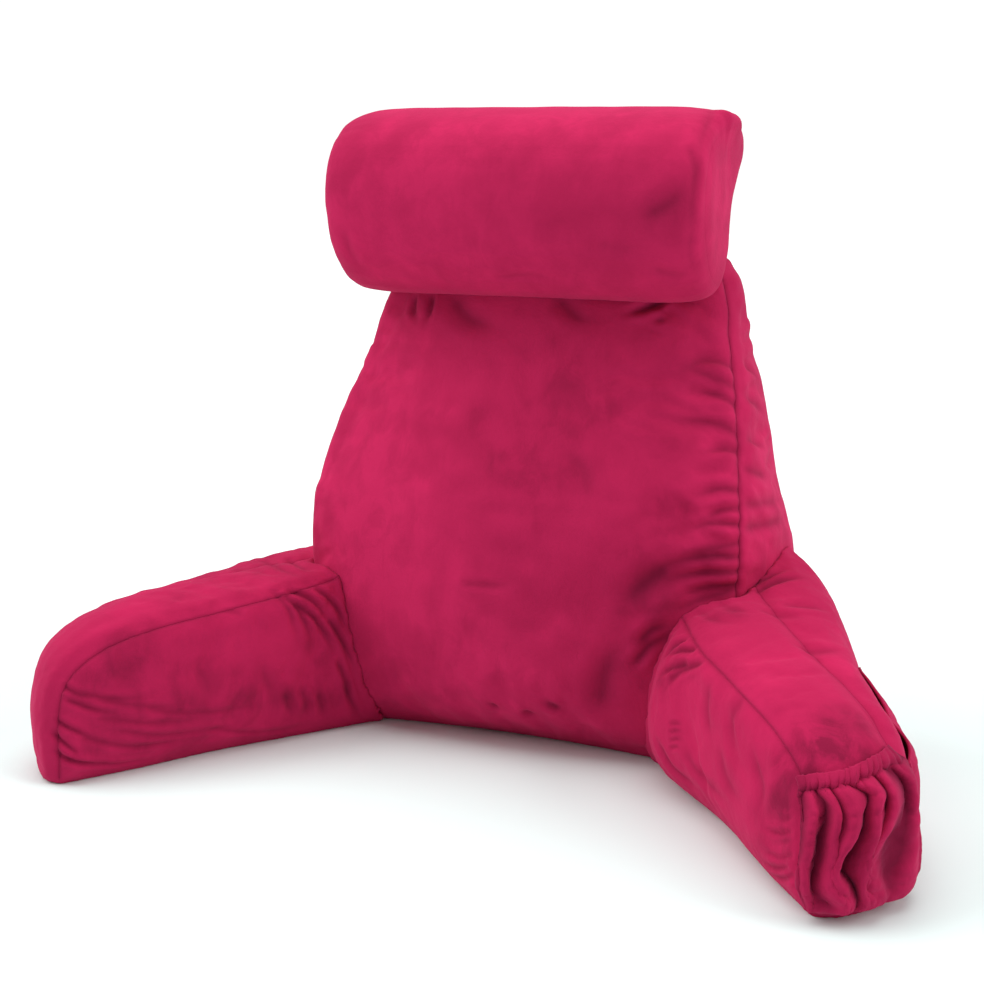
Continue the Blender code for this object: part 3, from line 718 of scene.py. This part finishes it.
def shape_skin(obj, seams, creases, nap, neighbour, stands, wrinkle, seed):
    """Draws the skin in at its seams and creases, makes it lumpy and tucks it in at the floor."""
    pad = bpy.context.scene.pillow_stuffing
    mesh = obj.data
    places = read(mesh)
    normals = read(mesh, "normal")
    tree = tree_of(mesh)
    near = clearance(places, neighbour)
    free = free_share(places, near, stands, 1)
    push = np.zeros(len(places))
    # painted shade: how much darker the velour is drawn along the seams' grooves and deep in the creases
    hollow = np.zeros(len(places))
    beside = []
    for seam in seams:
        distance, along, _ = measured(places, normals, laid_on(seam.places, tree), 0.05)
        beside.append((distance, along))
        push += seam.pull * seam_push(distance)
        hollow += 0.6 * seam.pull * bell(distance, 0.003)
    for crease in creases:
        inward, depth = crease_push(places, crease, tree)
        push += inward * pad.crease_scale
        hollow += depth
    push -= pad.lump * wrinkle * (lumps(places, 0.07, seed) + 0.5 * lumps(places, 0.028, seed + 7))
    places -= normals * (push * free)[:, None]
    if stands:
        under = np.clip(1 - places[:, 2] / TUCK_HEIGHT, 0, 1) ** 2 * smoothstep(0.001, 0.012, near)
        places[:, :2] -= normals[:, :2] * (pad.tuck * under)[:, None]
        places[:, 2] = np.maximum(places[:, 2], 0.0)
    write(mesh, places)
    save_marks(mesh, hollow, nap_shares(places, nap), beside)


def stuffed(name, node, grain, seams, creases, nap, neighbour=None, wrinkle=1.0, full=1.0, seed=0.0):
    """A filled cushion made from its solid. All but the neck roll stand on the floor."""
    obj = solid_copy(node, name)
    even_skin(obj, grain)
    against = tree_of(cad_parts[neighbour].data) if neighbour else None
    stands = node != "neck_roll"
    swell(obj, seams, against, stands, wrinkle, full)
    applied(obj, "SUBSURF", levels=1, render_levels=1)
    shape_skin(obj, seams, creases, nap, against, stands, wrinkle, seed)
    return obj


def save_marks(mesh, hollow, nap, beside):
    """Keeps painted shade and nap, with painted light, as attributes, and the nearest seam's distance as a UV
    map.
    """
    for name, values in (("hollow", hollow), ("nap", nap)):
        mesh.attributes.new(name, "FLOAT", "POINT").data.foreach_set("value", values.astype(np.float32))
    corners = np.empty(len(mesh.loops), np.int32)
    mesh.loops.foreach_get("vertex_index", corners)
    starts = np.empty(len(mesh.polygons), np.int32)
    mesh.polygons.foreach_get("loop_start", starts)
    signed = np.stack([distance[corners] for distance, _ in beside])
    along = np.stack([place[corners] for _, place in beside])
    face = np.repeat(np.arange(len(starts)), np.diff(np.append(starts, len(corners))))
    apart = np.add.reduceat(np.abs(signed), starts, axis=1)
    nearest = apart.argmin(axis=0)[face]
    pick = np.arange(len(corners))
    chart = np.stack([along[nearest, pick], signed[nearest, pick]], axis=1)
    layer = mesh.uv_layers.new(name="seam")
    layer.uv.foreach_set("vector", chart.astype(np.float32).ravel())


def over_surface(places, tree, limit):
    """For each place near a surface: the nearest point on it, the way out there, and the height over it."""
    feet = places.copy()
    outward = np.zeros(places.shape)
    for k, place in enumerate(places):
        foot, normal, _, _ = tree.find_nearest(Vector(place), limit)
        if foot is not None:
            feet[k] = foot
            outward[k] = normal
    height = np.einsum("ij,ij->i", places - feet, outward)
    height[~outward.any(axis=1)] = limit
    return feet, outward, height


def sewn_on(obj, neighbour, gap, fillet):
    """Lays a piece against its neighbour with no gap, and flares it into the corner between them."""
    mesh = obj.data
    tree = tree_of(neighbour.data)
    places = read(mesh)
    normals = read(mesh, "normal")
    feet, outward, height = over_surface(places, tree, 0.03)
    facing = np.einsum("ij,ij->i", normals, outward)
    touching = (facing < -0.85) & (height < 0.006)
    if fillet:
        close = np.clip(1 - height / fillet, 0, 1)
        rise = evened(0.5 * fillet * close ** 2 * smoothstep(-0.8, -0.3, facing), mesh, 8)
        places += normals * rise[:, None]
        even = np.stack([evened(places[:, k], mesh, 4) for k in range(3)], axis=1)
        places += (even - places) * smoothstep(0, 1, close)[:, None]
    places[touching] = feet[touching] + outward[touching] * gap
    _, outward, height = over_surface(places, tree, 0.03)
    places += outward * np.maximum(gap - height, 0)[:, None]
    if fillet:
        places[:, 2] = np.maximum(places[:, 2], 0.0)
    write(mesh, places)


# ---------------- the pockets
CLOTH = 0.0024
SEWN_GAP = 0.0006               # between a pocket's cloth and the arm's skin, where it is sewn on
POCKET_PAINTED_SHADE = 0.5                # painted shade: how much darker the pockets are drawn all over

# The gathered pocket's sections from rim to foot. Each lists its folds from the inner to the outer side, turn
# by turn a ridge and a trough: how far across the arm's end they lie, in hundredths of its width, and how far
# they hang out from it, in millimetres.
PocketRow = namedtuple("PocketRow", "up across hang")
END_POCKET_ROWS = [
    PocketRow(0.00, (0, 2, 4, 8, 12, 17, 22, 27, 33, 38, 43, 50, 57, 66, 78, 92, 98),
              (1, 1, 1, 1, 1, 1, 1, 1, 1, 1, 1, 1, 1, 1, 1, 1, 1)),
    PocketRow(0.05, (0, -2, -1, 1, 11, 17, 21, 25, 33, 34, 37, 44, 53, 61, 80, 103, 99),
              (1, 6, 8, 11, 8, 14, 14, 13, 6, 11, 14, 14, 13, 11, 15, 12, 1)),
    PocketRow(0.12, (0, -4, -3, -1, 10, 17, 20, 24, 33, 33, 35, 42, 51, 60, 80, 106, 99),
              (1, 9, 12, 16, 10, 20, 20, 18, 8, 15, 19, 18, 18, 13, 20, 16, 1)),
    PocketRow(0.24, (0, -11, -10, -8, 0, 7, 12, 18, 28, 29, 29, 33, 41, 55, 76, 107, 99),
              (1, 10, 12, 17, 9, 22, 23, 20, 5, 14, 23, 19, 20, 7, 20, 17, 1)),
    PocketRow(0.35, (0, -13, -12, -10, 1, 4, 7, 10, 17, 22, 28, 31, 34, 58, 89, 105, 99),
              (1, 10, 12, 17, 6, 22, 23, 21, 2, 11, 24, 22, 21, 3, 19, 16, 1)),
    PocketRow(0.45, (0, -13, -12, -10, 2, 5, 8, 11, 18, 24, 30, 32, 35, 59, 88, 103, 99),
              (1, 10, 8, 17, 5, 21, 22, 21, 2, 9, 23, 21, 21, 2, 18, 15, 1)),
    PocketRow(0.58, (0, -12, -11, -9, 3, 6, 11, 16, 28, 31, 33, 42, 45, 67, 86, 100, 99),
              (1, 10, 5, 18, 5, 21, 15, 24, 6, 12, 23, 14, 21, 2, 17, 13, 1)),
    PocketRow(0.69, (0, -11, -9, -7, 6, 8, 13, 18, 30, 32, 35, 47, 49, 68, 82, 96, 99),
              (1, 9, 3, 19, 6, 22, 8, 24, 7, 14, 23, 8, 21, 3, 16, 11, 1)),
    PocketRow(0.79, (0, -10, -7, -4, 7, 9, 13, 19, 33, 34, 37, 46, 48, 62, 76, 92, 97),
              (1, 8, 2, 18, 7, 21, 9, 23, 8, 14, 23, 8, 20, 4, 15, 9, 1)),
    PocketRow(0.87, (0, -8, -5, -1, 4, 7, 11, 17, 23, 28, 34, 40, 44, 52, 62, 78, 87),
              (1, 6, 2, 13, 4, 16, 7, 19, 8, 15, 19, 7, 16, 4, 11, 6, 1)),
    PocketRow(0.90, (0, -6, -4, 0, 4, 7, 11, 16, 22, 27, 33, 38, 43, 50, 60, 72, 79),
              (1, 5, 4, 7, 6, 9, 8, 11, 10, 11, 11, 9, 10, 7, 8, 5, 1)),
    PocketRow(0.95, (0, -5, -2, 1, 5, 8, 12, 17, 23, 28, 34, 40, 44, 50, 58, 66, 70),
              (1, 6, 7, 9, 9, 11, 11, 13, 13, 13, 13, 12, 12, 11, 9, 5, 1)),
    PocketRow(1.00, (0, -5, -1, 2, 6, 9, 13, 19, 25, 30, 36, 41, 45, 50, 55, 60, 62),
              (1, 6, 7, 9, 9, 11, 11, 13, 13, 13, 13, 12, 12, 10, 8, 4, 1)),
]
END_POCKET_FOOT = 0.035
END_WIDTH = 0.11                # the arm's end across, for the folds that hang out beyond its sides
# The rim's height over the arm's end, as a share, from the inner to the outer side.
RimRow = namedtuple("RimRow", "across up")
END_POCKET_RIM = [
    RimRow(-0.16, 0.85), RimRow(0.00, 0.855), RimRow(0.06, 0.84), RimRow(0.12, 0.82), RimRow(0.23, 0.81),
    RimRow(0.36, 0.83), RimRow(0.49, 0.87), RimRow(0.60, 0.92), RimRow(1.00, 0.95),
]
END_POCKET_CUTS = (170, 110)
END_HEM = 0.895                 # where the elastic hem starts, from foot to rim
END_GATHERS = 19                # how many short gathers the elastic draws

SIDE_POCKET_REACH = (0.60, 0.93)
SIDE_POCKET_FOOT = 0.06
# The side pocket's rim, as a share of the arm's height, and how far its rim, the neck under it and its belly
# hang out, in millimetres, along the arm.
HangRow = namedtuple("HangRow", "along up rim neck belly")
SIDE_POCKET_HANG = [
    HangRow(0.00, 0.955, 0.8, 0.8, 0.8),
    HangRow(0.08, 0.910, 2.0, 5, 7),
    HangRow(0.20, 0.860, 4.0, 11, 12),
    HangRow(0.32, 0.830, 4.0, 13, 15),
    HangRow(0.44, 0.810, 1.5, 12, 16),
    HangRow(0.50, 0.800, 1.5, 12, 16),
    HangRow(0.60, 0.784, 5.0, 13, 17),
    HangRow(0.72, 0.765, 7.0, 14, 17),
    HangRow(0.82, 0.749, 6.0, 13, 15),
    HangRow(0.92, 0.733, 3.0, 8, 10),
    HangRow(1.00, 0.720, 0.8, 0.8, 0.8),
]
# Where each fold starts on the rim, how far it leans by the foot, its width and its depth in millimetres.
SIDE_POCKET_FOLDS = [(0.13, 0.10, 0.030, 4.0), (0.22, 0.12, 0.022, 3.0), (0.36, 0.05, 0.028, 4.5),
                     (0.62, -0.04, 0.030, 3.0), (0.78, -0.08, 0.035, 4.0)]
SIDE_POCKET_CUTS = (120, 100)
SIDE_POCKET_SEWN = 0.8          # how far out its sewn edges lie, in millimetres
SIDE_HEM = 0.87


def hem_swell(up, start, thickness):
    """The padding of a rolled hem from its stitch line up to the rim."""
    share = (up - start) / (1 - start)
    return thickness * math.sqrt(max(0.0, hill(share * 0.97))) if share > 0 else 0.0


def end_pocket_fold(unit):
    """Across the arm's end and out from it, for a point of the unit square."""
    columns = len(END_POCKET_ROWS[0].across)
    column = unit.x * (columns - 1)
    ups = [row.up for row in END_POCKET_ROWS]
    first = min(int(column), columns - 2)
    near = [k for k in range(first - 1, first + 3) if 0 <= k < columns]
    across = [on_curve(ups, [row.across[k] for row in END_POCKET_ROWS], unit.y) for k in near]
    hang = [on_curve(ups, [row.hang[k] for row in END_POCKET_ROWS], unit.y) for k in near]
    return on_curve(near, across, column) / 100, on_curve(near, hang, column) / 1000


def end_pocket_place(unit):
    """The gathered pocket's inner face: x across the arm, y from foot to rim."""
    over, out = end_pocket_fold(unit)
    up = mix(END_POCKET_FOOT, row_at(END_POCKET_RIM, over).up, unit.y)
    inside = min(max(over, 0.0), 1.0)
    along, across, height = arm_rim(RIGHT_ARM, inside, 1, up)
    # the elastic in the hem draws it into short uneven gathers, which fade out below it
    uneven = noise.noise(Vector((unit.x * 9, 5.0, 0)))
    gather = math.sin(2 * math.pi * (END_GATHERS * unit.x + 1.1 * uneven))
    gather *= hill(unit.x) ** 0.3 * (0.8 + 0.9 * abs(uneven))
    drawn = float(smoothstep(0.78, 0.90, unit.y)) * (1.2 - 0.6 * float(smoothstep(0.95, 1, unit.y)))
    out += 0.0014 * gather * drawn
    # the cloth is crumpled a little all over
    loose = hill(unit.x) ** 0.3 * hill(unit.y) ** 0.3
    out += 0.0026 * loose * noise.noise(Vector((unit.x * 18, unit.y * 11, 2.0)))
    out += 0.0019 * loose * noise.noise(Vector((unit.x * 42, unit.y * 24, 4.0)))
    out += hem_swell(unit.y, END_HEM, 0.0018)
    return arm_place(RIGHT_ARM, along + out, across + (over - inside) * END_WIDTH, height)


def end_pocket_hollow(unit):
    """Painted shade deep in the gathered pocket's folds and along its hem's stitch line; the hem is darker
    too.
    """
    _, out = end_pocket_fold(unit)
    most = 0.020 * mix(1, 0.5, float(smoothstep(0.8, 0.92, unit.y)))
    in_fold = max(0.0, 1 - out / most) * float(smoothstep(0.03, 0.16, unit.y)) * hill(unit.x) ** 0.25
    hem = 0.3 * float(smoothstep(END_HEM, END_HEM + 0.02, unit.y))
    return 2.4 * in_fold ** 1.2 + hem + 0.6 * math.exp(-((unit.y - END_HEM) / 0.008) ** 2)


def side_pocket_place(unit):
    """The side pocket's inner face: x along the arm, y from foot to rim."""
    hang = row_at(SIDE_POCKET_HANG, unit.x)
    far = mix(*SIDE_POCKET_REACH, unit.x)
    along, across, height = arm_skin(RIGHT_ARM, far, 1, mix(SIDE_POCKET_FOOT, hang.up, unit.y))
    hangs = (SIDE_POCKET_SEWN, 0.7 * hang.belly, hang.belly, hang.neck, hang.rim)
    out = on_curve((0, 0.2, 0.5, 0.86, 1), hangs, unit.y)
    for start, lean, width, depth in SIDE_POCKET_FOLDS:
        apart = (unit.x - start - lean * (1 - unit.y)) / width
        out -= depth * math.exp(-apart * apart) * hill(unit.y) * hill(unit.x)
    out += 1.5 * hill(unit.x) * hill(unit.y) * noise.noise(Vector((unit.x * 9, unit.y * 7, 8.0)))
    out = max(out, SIDE_POCKET_SEWN) / 1000
    return arm_place(RIGHT_ARM, along, across + out + hem_swell(unit.y, SIDE_HEM, 0.0016), height)


# Painted shade along the side pocket's hem stitch line.
def side_pocket_hollow(unit):
    return 0.5 * math.exp(-((unit.y - SIDE_HEM) / 0.010) ** 2)


def sewn_edge(unit):
    """1 at a pocket's sewn sides and foot, falling to 0 a little way in."""
    return float(smoothstep(0, 1, 1 - min(unit.x, 1 - unit.x, unit.y) / 0.08))


def sheet_from(name, cuts, place, hollow, outward):
    """A pocket's cloth: a flat grid carried to its place, sewn to the arm's skin and thickened outward."""
    arm = tree_of(bpy.data.objects["stuffed_right_arm"].data)
    bm = bmesh.new()
    middle = Matrix.Translation((0.5, 0.5, 0))
    bmesh.ops.create_grid(bm, x_segments=cuts[0], y_segments=cuts[1], size=0.5, matrix=middle)
    depth = bm.verts.layers.float.new("hollow")
    nap = bm.verts.layers.float.new("nap")
    for vert in bm.verts:
        unit = vert.co.copy()
        # painted shade: the pocket's own shade in its folds and at its hem, and a darker tone over all of it
        vert[depth] = hollow(unit)
        vert[nap] = POCKET_PAINTED_SHADE
        vert.co = place(unit)
        skin, normal, _, _ = arm.find_nearest(vert.co)
        height = (vert.co - skin).dot(normal)
        vert.co += normal * (mix(max(height, SEWN_GAP), SEWN_GAP, sewn_edge(unit)) - height)
    bm.normal_update()
    if sum((face.normal * face.calc_area() for face in bm.faces), Vector()).dot(outward) < 0:
        bmesh.ops.reverse_faces(bm, faces=bm.faces)
    obj = object_from(bm, name)
    applied(obj, "SMOOTH", factor=0.5, iterations=2)
    applied(obj, "SOLIDIFY", thickness=CLOTH, offset=1, use_even_offset=False)
    return obj


# ---------------- the velour
def add(tree, kind, inputs=None, **settings):
    """Adds a node with its settings, and sets or links its inputs."""
    made = tree.nodes.new(kind)
    for name, value in settings.items():
        setattr(made, name, value)
    for socket, value in (inputs or {}).items():
        if isinstance(value, bpy.types.NodeSocket):
            tree.links.new(value, made.inputs[socket])
        else:
            made.inputs[socket].default_value = value
    return made


def noise_of(tree, place, scale, detail, roughness, distortion=0.0):
    return add(tree, "ShaderNodeTexNoise", {"Vector": place, "Scale": scale, "Detail": detail,
                                            "Roughness": roughness, "Distortion": distortion}).outputs["Fac"]


def ranged(tree, value, start, end, low, high, kind="LINEAR"):
    """A value from start to end, carried to low to high."""
    return add(tree, "ShaderNodeMapRange", {"Value": value, 1: start, 2: end, 3: low, 4: high},
               interpolation_type=kind).outputs[0]


def worked_out(tree, operation, *values):
    return add(tree, "ShaderNodeMath", dict(enumerate(values)), operation=operation).outputs[0]


def blended(tree, share, first, second, clamp=True):
    return add(tree, "ShaderNodeMix", {"Factor": share, 6: first, 7: second},
               data_type="RGBA", clamp_factor=clamp).outputs[2]


def attribute(tree, name):
    return add(tree, "ShaderNodeAttribute", attribute_name=name).outputs["Fac"]


def nap_lies(tree, place):
    """How the nap lies, light over dark."""
    # broad patches where it was brushed the other way, their edges broken up by smaller ones
    broad = noise_of(tree, place, 8, 2, 0.5, 0.3)
    small = noise_of(tree, place, 45, 4, 0.6)
    both = worked_out(tree, "MULTIPLY_ADD", small, 0.3, broad)
    brushed = ranged(tree, both, 0.5, 0.78, 0.25, 0.75, "SMOOTHSTEP")
    # the listed patches, partly nap and partly painted light and shade, mottled and drawn out along the pile
    drawn = add(tree, "ShaderNodeMapping", {"Vector": place, "Scale": (34, 34, 16)}).outputs[0]
    mottle = ranged(tree, noise_of(tree, drawn, 1, 5, 0.65, 0.6), 0.38, 0.62, 0.5, 1.5)
    own = worked_out(tree, "MULTIPLY", attribute(tree, "nap"), mottle)
    return worked_out(tree, "SUBTRACT", brushed, own)


def pile_colour(tree, place):
    """The pile's colour as its nap lies, with painted light and shade in patches and painted shade in
    creases.
    """
    look = bpy.context.scene.pillow_velour
    lies = nap_lies(tree, place)
    # where a patch paints light, the share runs past the pile's own colour
    light = ranged(tree, lies, 0.0, 1.5, 0.0, 1.5)
    # the darkest nap, with the patches' painted shade, goes towards the shade colour
    dark = ranged(tree, lies, 0.1, -1.2, 0.0, 0.6)
    # painted shade along the seams and deep in the creases
    deep = ranged(tree, attribute(tree, "hollow"), 0.0, 1.2, 0.0, 0.85)
    colour = blended(tree, light, (*look.brushed, 1), (*look.pile, 1), clamp=False)
    for share in (dark, deep):
        colour = blended(tree, share, colour, (*look.shade_and_dark_nap, 1))
    return colour


def pile_relief(tree, place, stitch):
    """The seam's stitched line, then the pile in clumps and in single hairs."""
    seam = add(tree, "ShaderNodeUVMap", uv_map="seam").outputs[0]
    across = add(tree, "ShaderNodeSeparateXYZ", {0: seam}).outputs[1]
    line = ranged(tree, worked_out(tree, "ABSOLUTE", across), 0.0, 0.0016, 0.0, 1.0, "SMOOTHSTEP")
    clumps = noise_of(tree, place, 220, 3, 0.6)
    hairs = noise_of(tree, place, 900, 2, 0.6)
    under = {}
    for height, strength, distance in ((line, stitch, 0.001), (clumps, 0.35, 0.0012), (hairs, 0.3, 0.0005)):
        relief = {"Height": height, "Strength": strength, "Distance": distance}
        normal = add(tree, "ShaderNodeBump", relief | under).outputs[0]
        under = {"Normal": normal}
    return normal


def velour(name, stitch):
    """Short-pile velour: nap lighter and darker in patches, painted light and shade, a soft sheen and a fine
    pile.
    """
    material = bpy.data.materials.new(name)
    material.use_nodes = True
    tree = material.node_tree
    shader = tree.nodes["Principled BSDF"]
    shader.inputs["Roughness"].default_value = 0.92
    shader.inputs["Specular IOR Level"].default_value = 0.1
    shader.inputs["Sheen Weight"].default_value = 0.16
    shader.inputs["Sheen Roughness"].default_value = 0.4
    shader.inputs["Sheen Tint"].default_value = (*bpy.context.scene.pillow_velour.sheen, 1)
    place = add(tree, "ShaderNodeTexCoord").outputs["Object"]
    tree.links.new(pile_colour(tree, place), shader.inputs["Base Color"])
    tree.links.new(pile_relief(tree, place, stitch), shader.inputs["Normal"])
    return material


def finish(obj, material_name, slot, *nodes, stitch=0.7):
    """Gives a piece its velour, hangs it on the root and hides the solids it stands for."""
    obj.data.materials.clear()
    obj.data.materials.append(velour(material_name, stitch))
    obj.data.shade_smooth()
    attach(obj, "root")
    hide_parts(*nodes)


# ---------------- the studio
FLOOR_HALF = 9
CAMERA_AIM = Vector((0.019, -0.0725, 0.323))
CAMERA_PLACE = Vector((0.6221, -1.5652, 0.6887))
CAMERA_LENS = 58.71
# Each broad light has the way to it, its width in degrees and its share of the light.
LIGHTS = [
    ("Left light", (-1.7, -0.5, 1.2), 50, 0.95),
    ("Right light", (1.9, 0.2, 1.2), 40, 0.8),
    ("Top light", (-0.1, 0.2, 2.0), 60, 1.0),
]


def floor_paint(colour):
    """Flat paint with no gloss."""
    material = bpy.data.materials.new("Floor paint")
    material.use_nodes = True
    shader = material.node_tree.nodes["Principled BSDF"]
    shader.inputs["Base Color"].default_value = (*colour, 1)
    shader.inputs["Roughness"].default_value = 0.9
    shader.inputs["Specular IOR Level"].default_value = 0.0
    return material


def pale_floor(colour):
    bm = bmesh.new()
    bmesh.ops.create_grid(bm, x_segments=1, y_segments=1, size=FLOOR_HALF)
    floor = object_from(bm, "studio_floor")
    floor.data.materials.append(floor_paint(colour))


def pale_room(strength):
    """A white backdrop that lights the pillow only softly."""
    world = bpy.data.worlds.new("Pale room")
    bpy.context.scene.world = world
    world.use_nodes = True
    tree = world.node_tree
    backdrop = tree.nodes["Background"]
    seen = add(tree, "ShaderNodeLightPath").outputs["Is Camera Ray"]
    tree.links.new(ranged(tree, seen, 0, 1, strength, 1.05), backdrop.inputs["Strength"])
    backdrop.inputs["Color"].default_value = (1, 1, 1, 1)


def facing(way, front):
    """The turn that points an object's front axis this way."""
    return Vector(way).to_track_quat(front, "Y").to_matrix().to_4x4()


def broad_light(name, towards, spread, strength):
    lamp = bpy.data.lights.new(name, "SUN")
    lamp.angle = math.radians(spread)
    lamp.energy = strength
    placed(name, lamp).matrix_world = facing(towards, "Z")


def photo_camera():
    view = bpy.data.cameras.new("Photo view")
    view.sensor_width = 36
    view.lens = CAMERA_LENS
    camera = placed("Photo view", view)
    camera.matrix_world = Matrix.Translation(CAMERA_PLACE) @ facing(CAMERA_AIM - CAMERA_PLACE, "-Z")
    bpy.context.scene.camera = camera


# ---------------- sizes and colours that a user may change
def number(name, description, default, low, high, **kind):
    return FloatProperty(name=name, description=description, default=default, min=low, max=high, **kind)


def length(*sizes):
    return number(*sizes, subtype="DISTANCE", unit="LENGTH")


def tint(name, description, hex_code):
    return FloatVectorProperty(name=name, description=description, default=linear(hex_code), min=0, max=1,
                               subtype="COLOR", size=3)


class PillowStuffing(bpy.types.PropertyGroup):
    slack: length("Slack", "How much smaller the skin starts than its solid", 0.005, 0, 0.02)
    fullness: length("Fullness", "How far the whole skin lies outside its solid", 0.001, -0.01, 0.01)
    swell: length("Swell", "How far the stuffing may push the skin out of its solid", 0.002, 0.0001, 0.03)
    pressure: number("Pressure", "How hard the stuffing pushes", 4, 0, 20)
    seam_depth: length("Seam depth", "Depth of a seam's own groove", 0.0016, 0, 0.006)
    seam_draw: length("Seam draw", "How far a seam draws in the skin on both sides of it", 0.0025, 0, 0.01)
    crease_scale: number("Creases", "How deep the creases are", 1.0, 0, 2)
    tuck: length("Tuck", "How far the skin turns in at the floor", 0.004, 0, 0.02)
    lump: length("Lumps", "How uneven the stuffing leaves the skin", 0.0018, 0, 0.01)
    fillet: length("Corner", "How round the corner is where an arm is sewn to the back", 0.010, 0, 0.03)


class PillowVelour(bpy.types.PropertyGroup):
    pile: tint("Pile", "The velour's colour", "#BF2154")
    brushed: tint("Brushed", "Its colour where the nap lies the other way", "#AC1B4A")
    # painted shade: the colour that creases, seams and the darkest nap are drawn towards
    shade_and_dark_nap: tint("Fold", "Its colour deep in a crease", "#660E2C")
    sheen: tint("Sheen", "The colour of the light on its nap", "#FF7CB2")


class PillowStudio(bpy.types.PropertyGroup):
    floor: tint("Floor", "The floor's colour", "#E2F0EE")
    light: number("Lights", "How strong the broad lights are, together", 1.85, 0, 10)
    room: number("Room light", "How strongly the room itself lights the pillow", 0.33, 0, 2)


# ---------------- the pieces
class BackCushion(bpy.types.Operator):
    """Makes the stuffed back cushion with its panel seams, puckers and dimples."""

    bl_idname = "pillow.back_cushion"
    bl_label = "Back cushion"

    def execute(self, context):
        back = stuffed("stuffed_back", "back_cushion", 0.0066, back_seams(), BACK_CREASES, BACK_NAP_AND_SHADING, seed=3.0)
        finish(back, "Back velour", "back_velour", "back_cushion")
        return {"FINISHED"}


class ArmCushions(bpy.types.Operator):
    """Makes the two stuffed arm cushions, fitted against the back."""

    bl_idname = "pillow.arm_cushions"
    bl_label = "Arm cushions"

    def execute(self, context):
        back = bpy.data.objects["stuffed_back"]
        fillet = context.scene.pillow_stuffing.fillet
        for side, arm, creases, nap, seed in (("left", LEFT_ARM, LEFT_ARM_CREASES, LEFT_ARM_NAP_AND_SHADING, 11.0),
                                              ("right", RIGHT_ARM, RIGHT_ARM_CREASES, RIGHT_ARM_NAP_AND_SHADING, 23.0)):
            node = side + "_arm"
            cushion = stuffed("stuffed_" + node, node, 0.0048, arm_seams(arm), creases, nap, "back_cushion",
                              wrinkle=0.6, seed=seed)
            sewn_on(cushion, back, CUSHION_GAP, fillet)
            finish(cushion, side.title() + " arm velour", "arm_velour", node)
        return {"FINISHED"}


class NeckRoll(bpy.types.Operator):
    """Makes the stuffed neck roll with its cap seams, resting on the back."""

    bl_idname = "pillow.neck_roll"
    bl_label = "Neck roll"

    def execute(self, context):
        roll = stuffed("stuffed_roll", "neck_roll", 0.0052, roll_seams(), ROLL_CREASES, ROLL_NAP_AND_SHADING,
                       "back_cushion", wrinkle=0.3, full=0.2, seed=31.0)
        sewn_on(roll, bpy.data.objects["stuffed_back"], CUSHION_GAP, 0)
        finish(roll, "Roll velour", "roll_velour", "neck_roll", stitch=0.15)
        return {"FINISHED"}


class EndPocket(bpy.types.Operator):
    """Makes the gathered pocket with its elastic hem on the right arm's front end."""

    bl_idname = "pillow.end_pocket"
    bl_label = "End pocket"

    def execute(self, context):
        forward, _ = arm_ways(RIGHT_ARM)
        shape = (end_pocket_place, end_pocket_hollow)
        pocket = sheet_from("gathered_pocket", END_POCKET_CUTS, *shape, forward)
        finish(pocket, "End pocket velour", "pocket_velour", "end_pocket")
        return {"FINISHED"}


class SidePocket(bpy.types.Operator):
    """Makes the flat pocket with its loose hem on the right arm's outer side."""

    bl_idname = "pillow.side_pocket"
    bl_label = "Side pocket"

    def execute(self, context):
        _, outward = arm_ways(RIGHT_ARM)
        shape = (side_pocket_place, side_pocket_hollow)
        pocket = sheet_from("hanging_pocket", SIDE_POCKET_CUTS, *shape, outward)
        finish(pocket, "Side pocket velour", "pocket_velour", "side_pocket")
        return {"FINISHED"}


class PaleStudio(bpy.types.Operator):
    """Lays the pale floor, hangs the soft lights and sets up the camera."""

    bl_idname = "pillow.pale_studio"
    bl_label = "Pale studio"

    def execute(self, context):
        look = context.scene.pillow_studio
        context.scene.view_settings.view_transform = "Standard"
        pale_floor(look.floor)
        pale_room(look.room)
        for name, towards, spread, share in LIGHTS:
            broad_light(name, towards, spread, share * look.light)
        photo_camera()
        return {"FINISHED"}


class PillowPanel(bpy.types.Panel):
    """Lists the pillow's pieces, sizes and colours."""

    bl_idname = "VIEW3D_PT_pillow"
    bl_label = "Reading pillow"
    bl_space_type = "VIEW_3D"
    bl_region_type = "UI"
    bl_category = "Pillow"

    def draw(self, context):
        layout = self.layout
        for group_name in GROUPS:
            group = getattr(context.scene, group_name)
            box = layout.box()
            for name in group.__annotations__:
                box.prop(group, name)
        for operator in PIECES:
            layout.operator(operator.bl_idname)


PIECES = (BackCushion, ArmCushions, NeckRoll, EndPocket, SidePocket, PaleStudio)
GROUPS = {"pillow_stuffing": PillowStuffing, "pillow_velour": PillowVelour, "pillow_studio": PillowStudio}


def register():
    for group in GROUPS.values():
        bpy.utils.register_class(group)
    for name, group in GROUPS.items():
        setattr(bpy.types.Scene, name, PointerProperty(type=group))
    for operator in (*PIECES, PillowPanel):
        bpy.utils.register_class(operator)


def unregister():
    for operator in reversed((*PIECES, PillowPanel)):
        bpy.utils.unregister_class(operator)
    for name in GROUPS:
        delattr(bpy.types.Scene, name)
    for group in GROUPS.values():
        bpy.utils.unregister_class(group)


def main():
    register()
    bpy.ops.pillow.back_cushion()
    bpy.ops.pillow.arm_cushions()
    bpy.ops.pillow.neck_roll()
    bpy.ops.pillow.end_pocket()
    bpy.ops.pillow.side_pocket()
    bpy.ops.pillow.pale_studio()


if __name__ == "__main__":
    main()
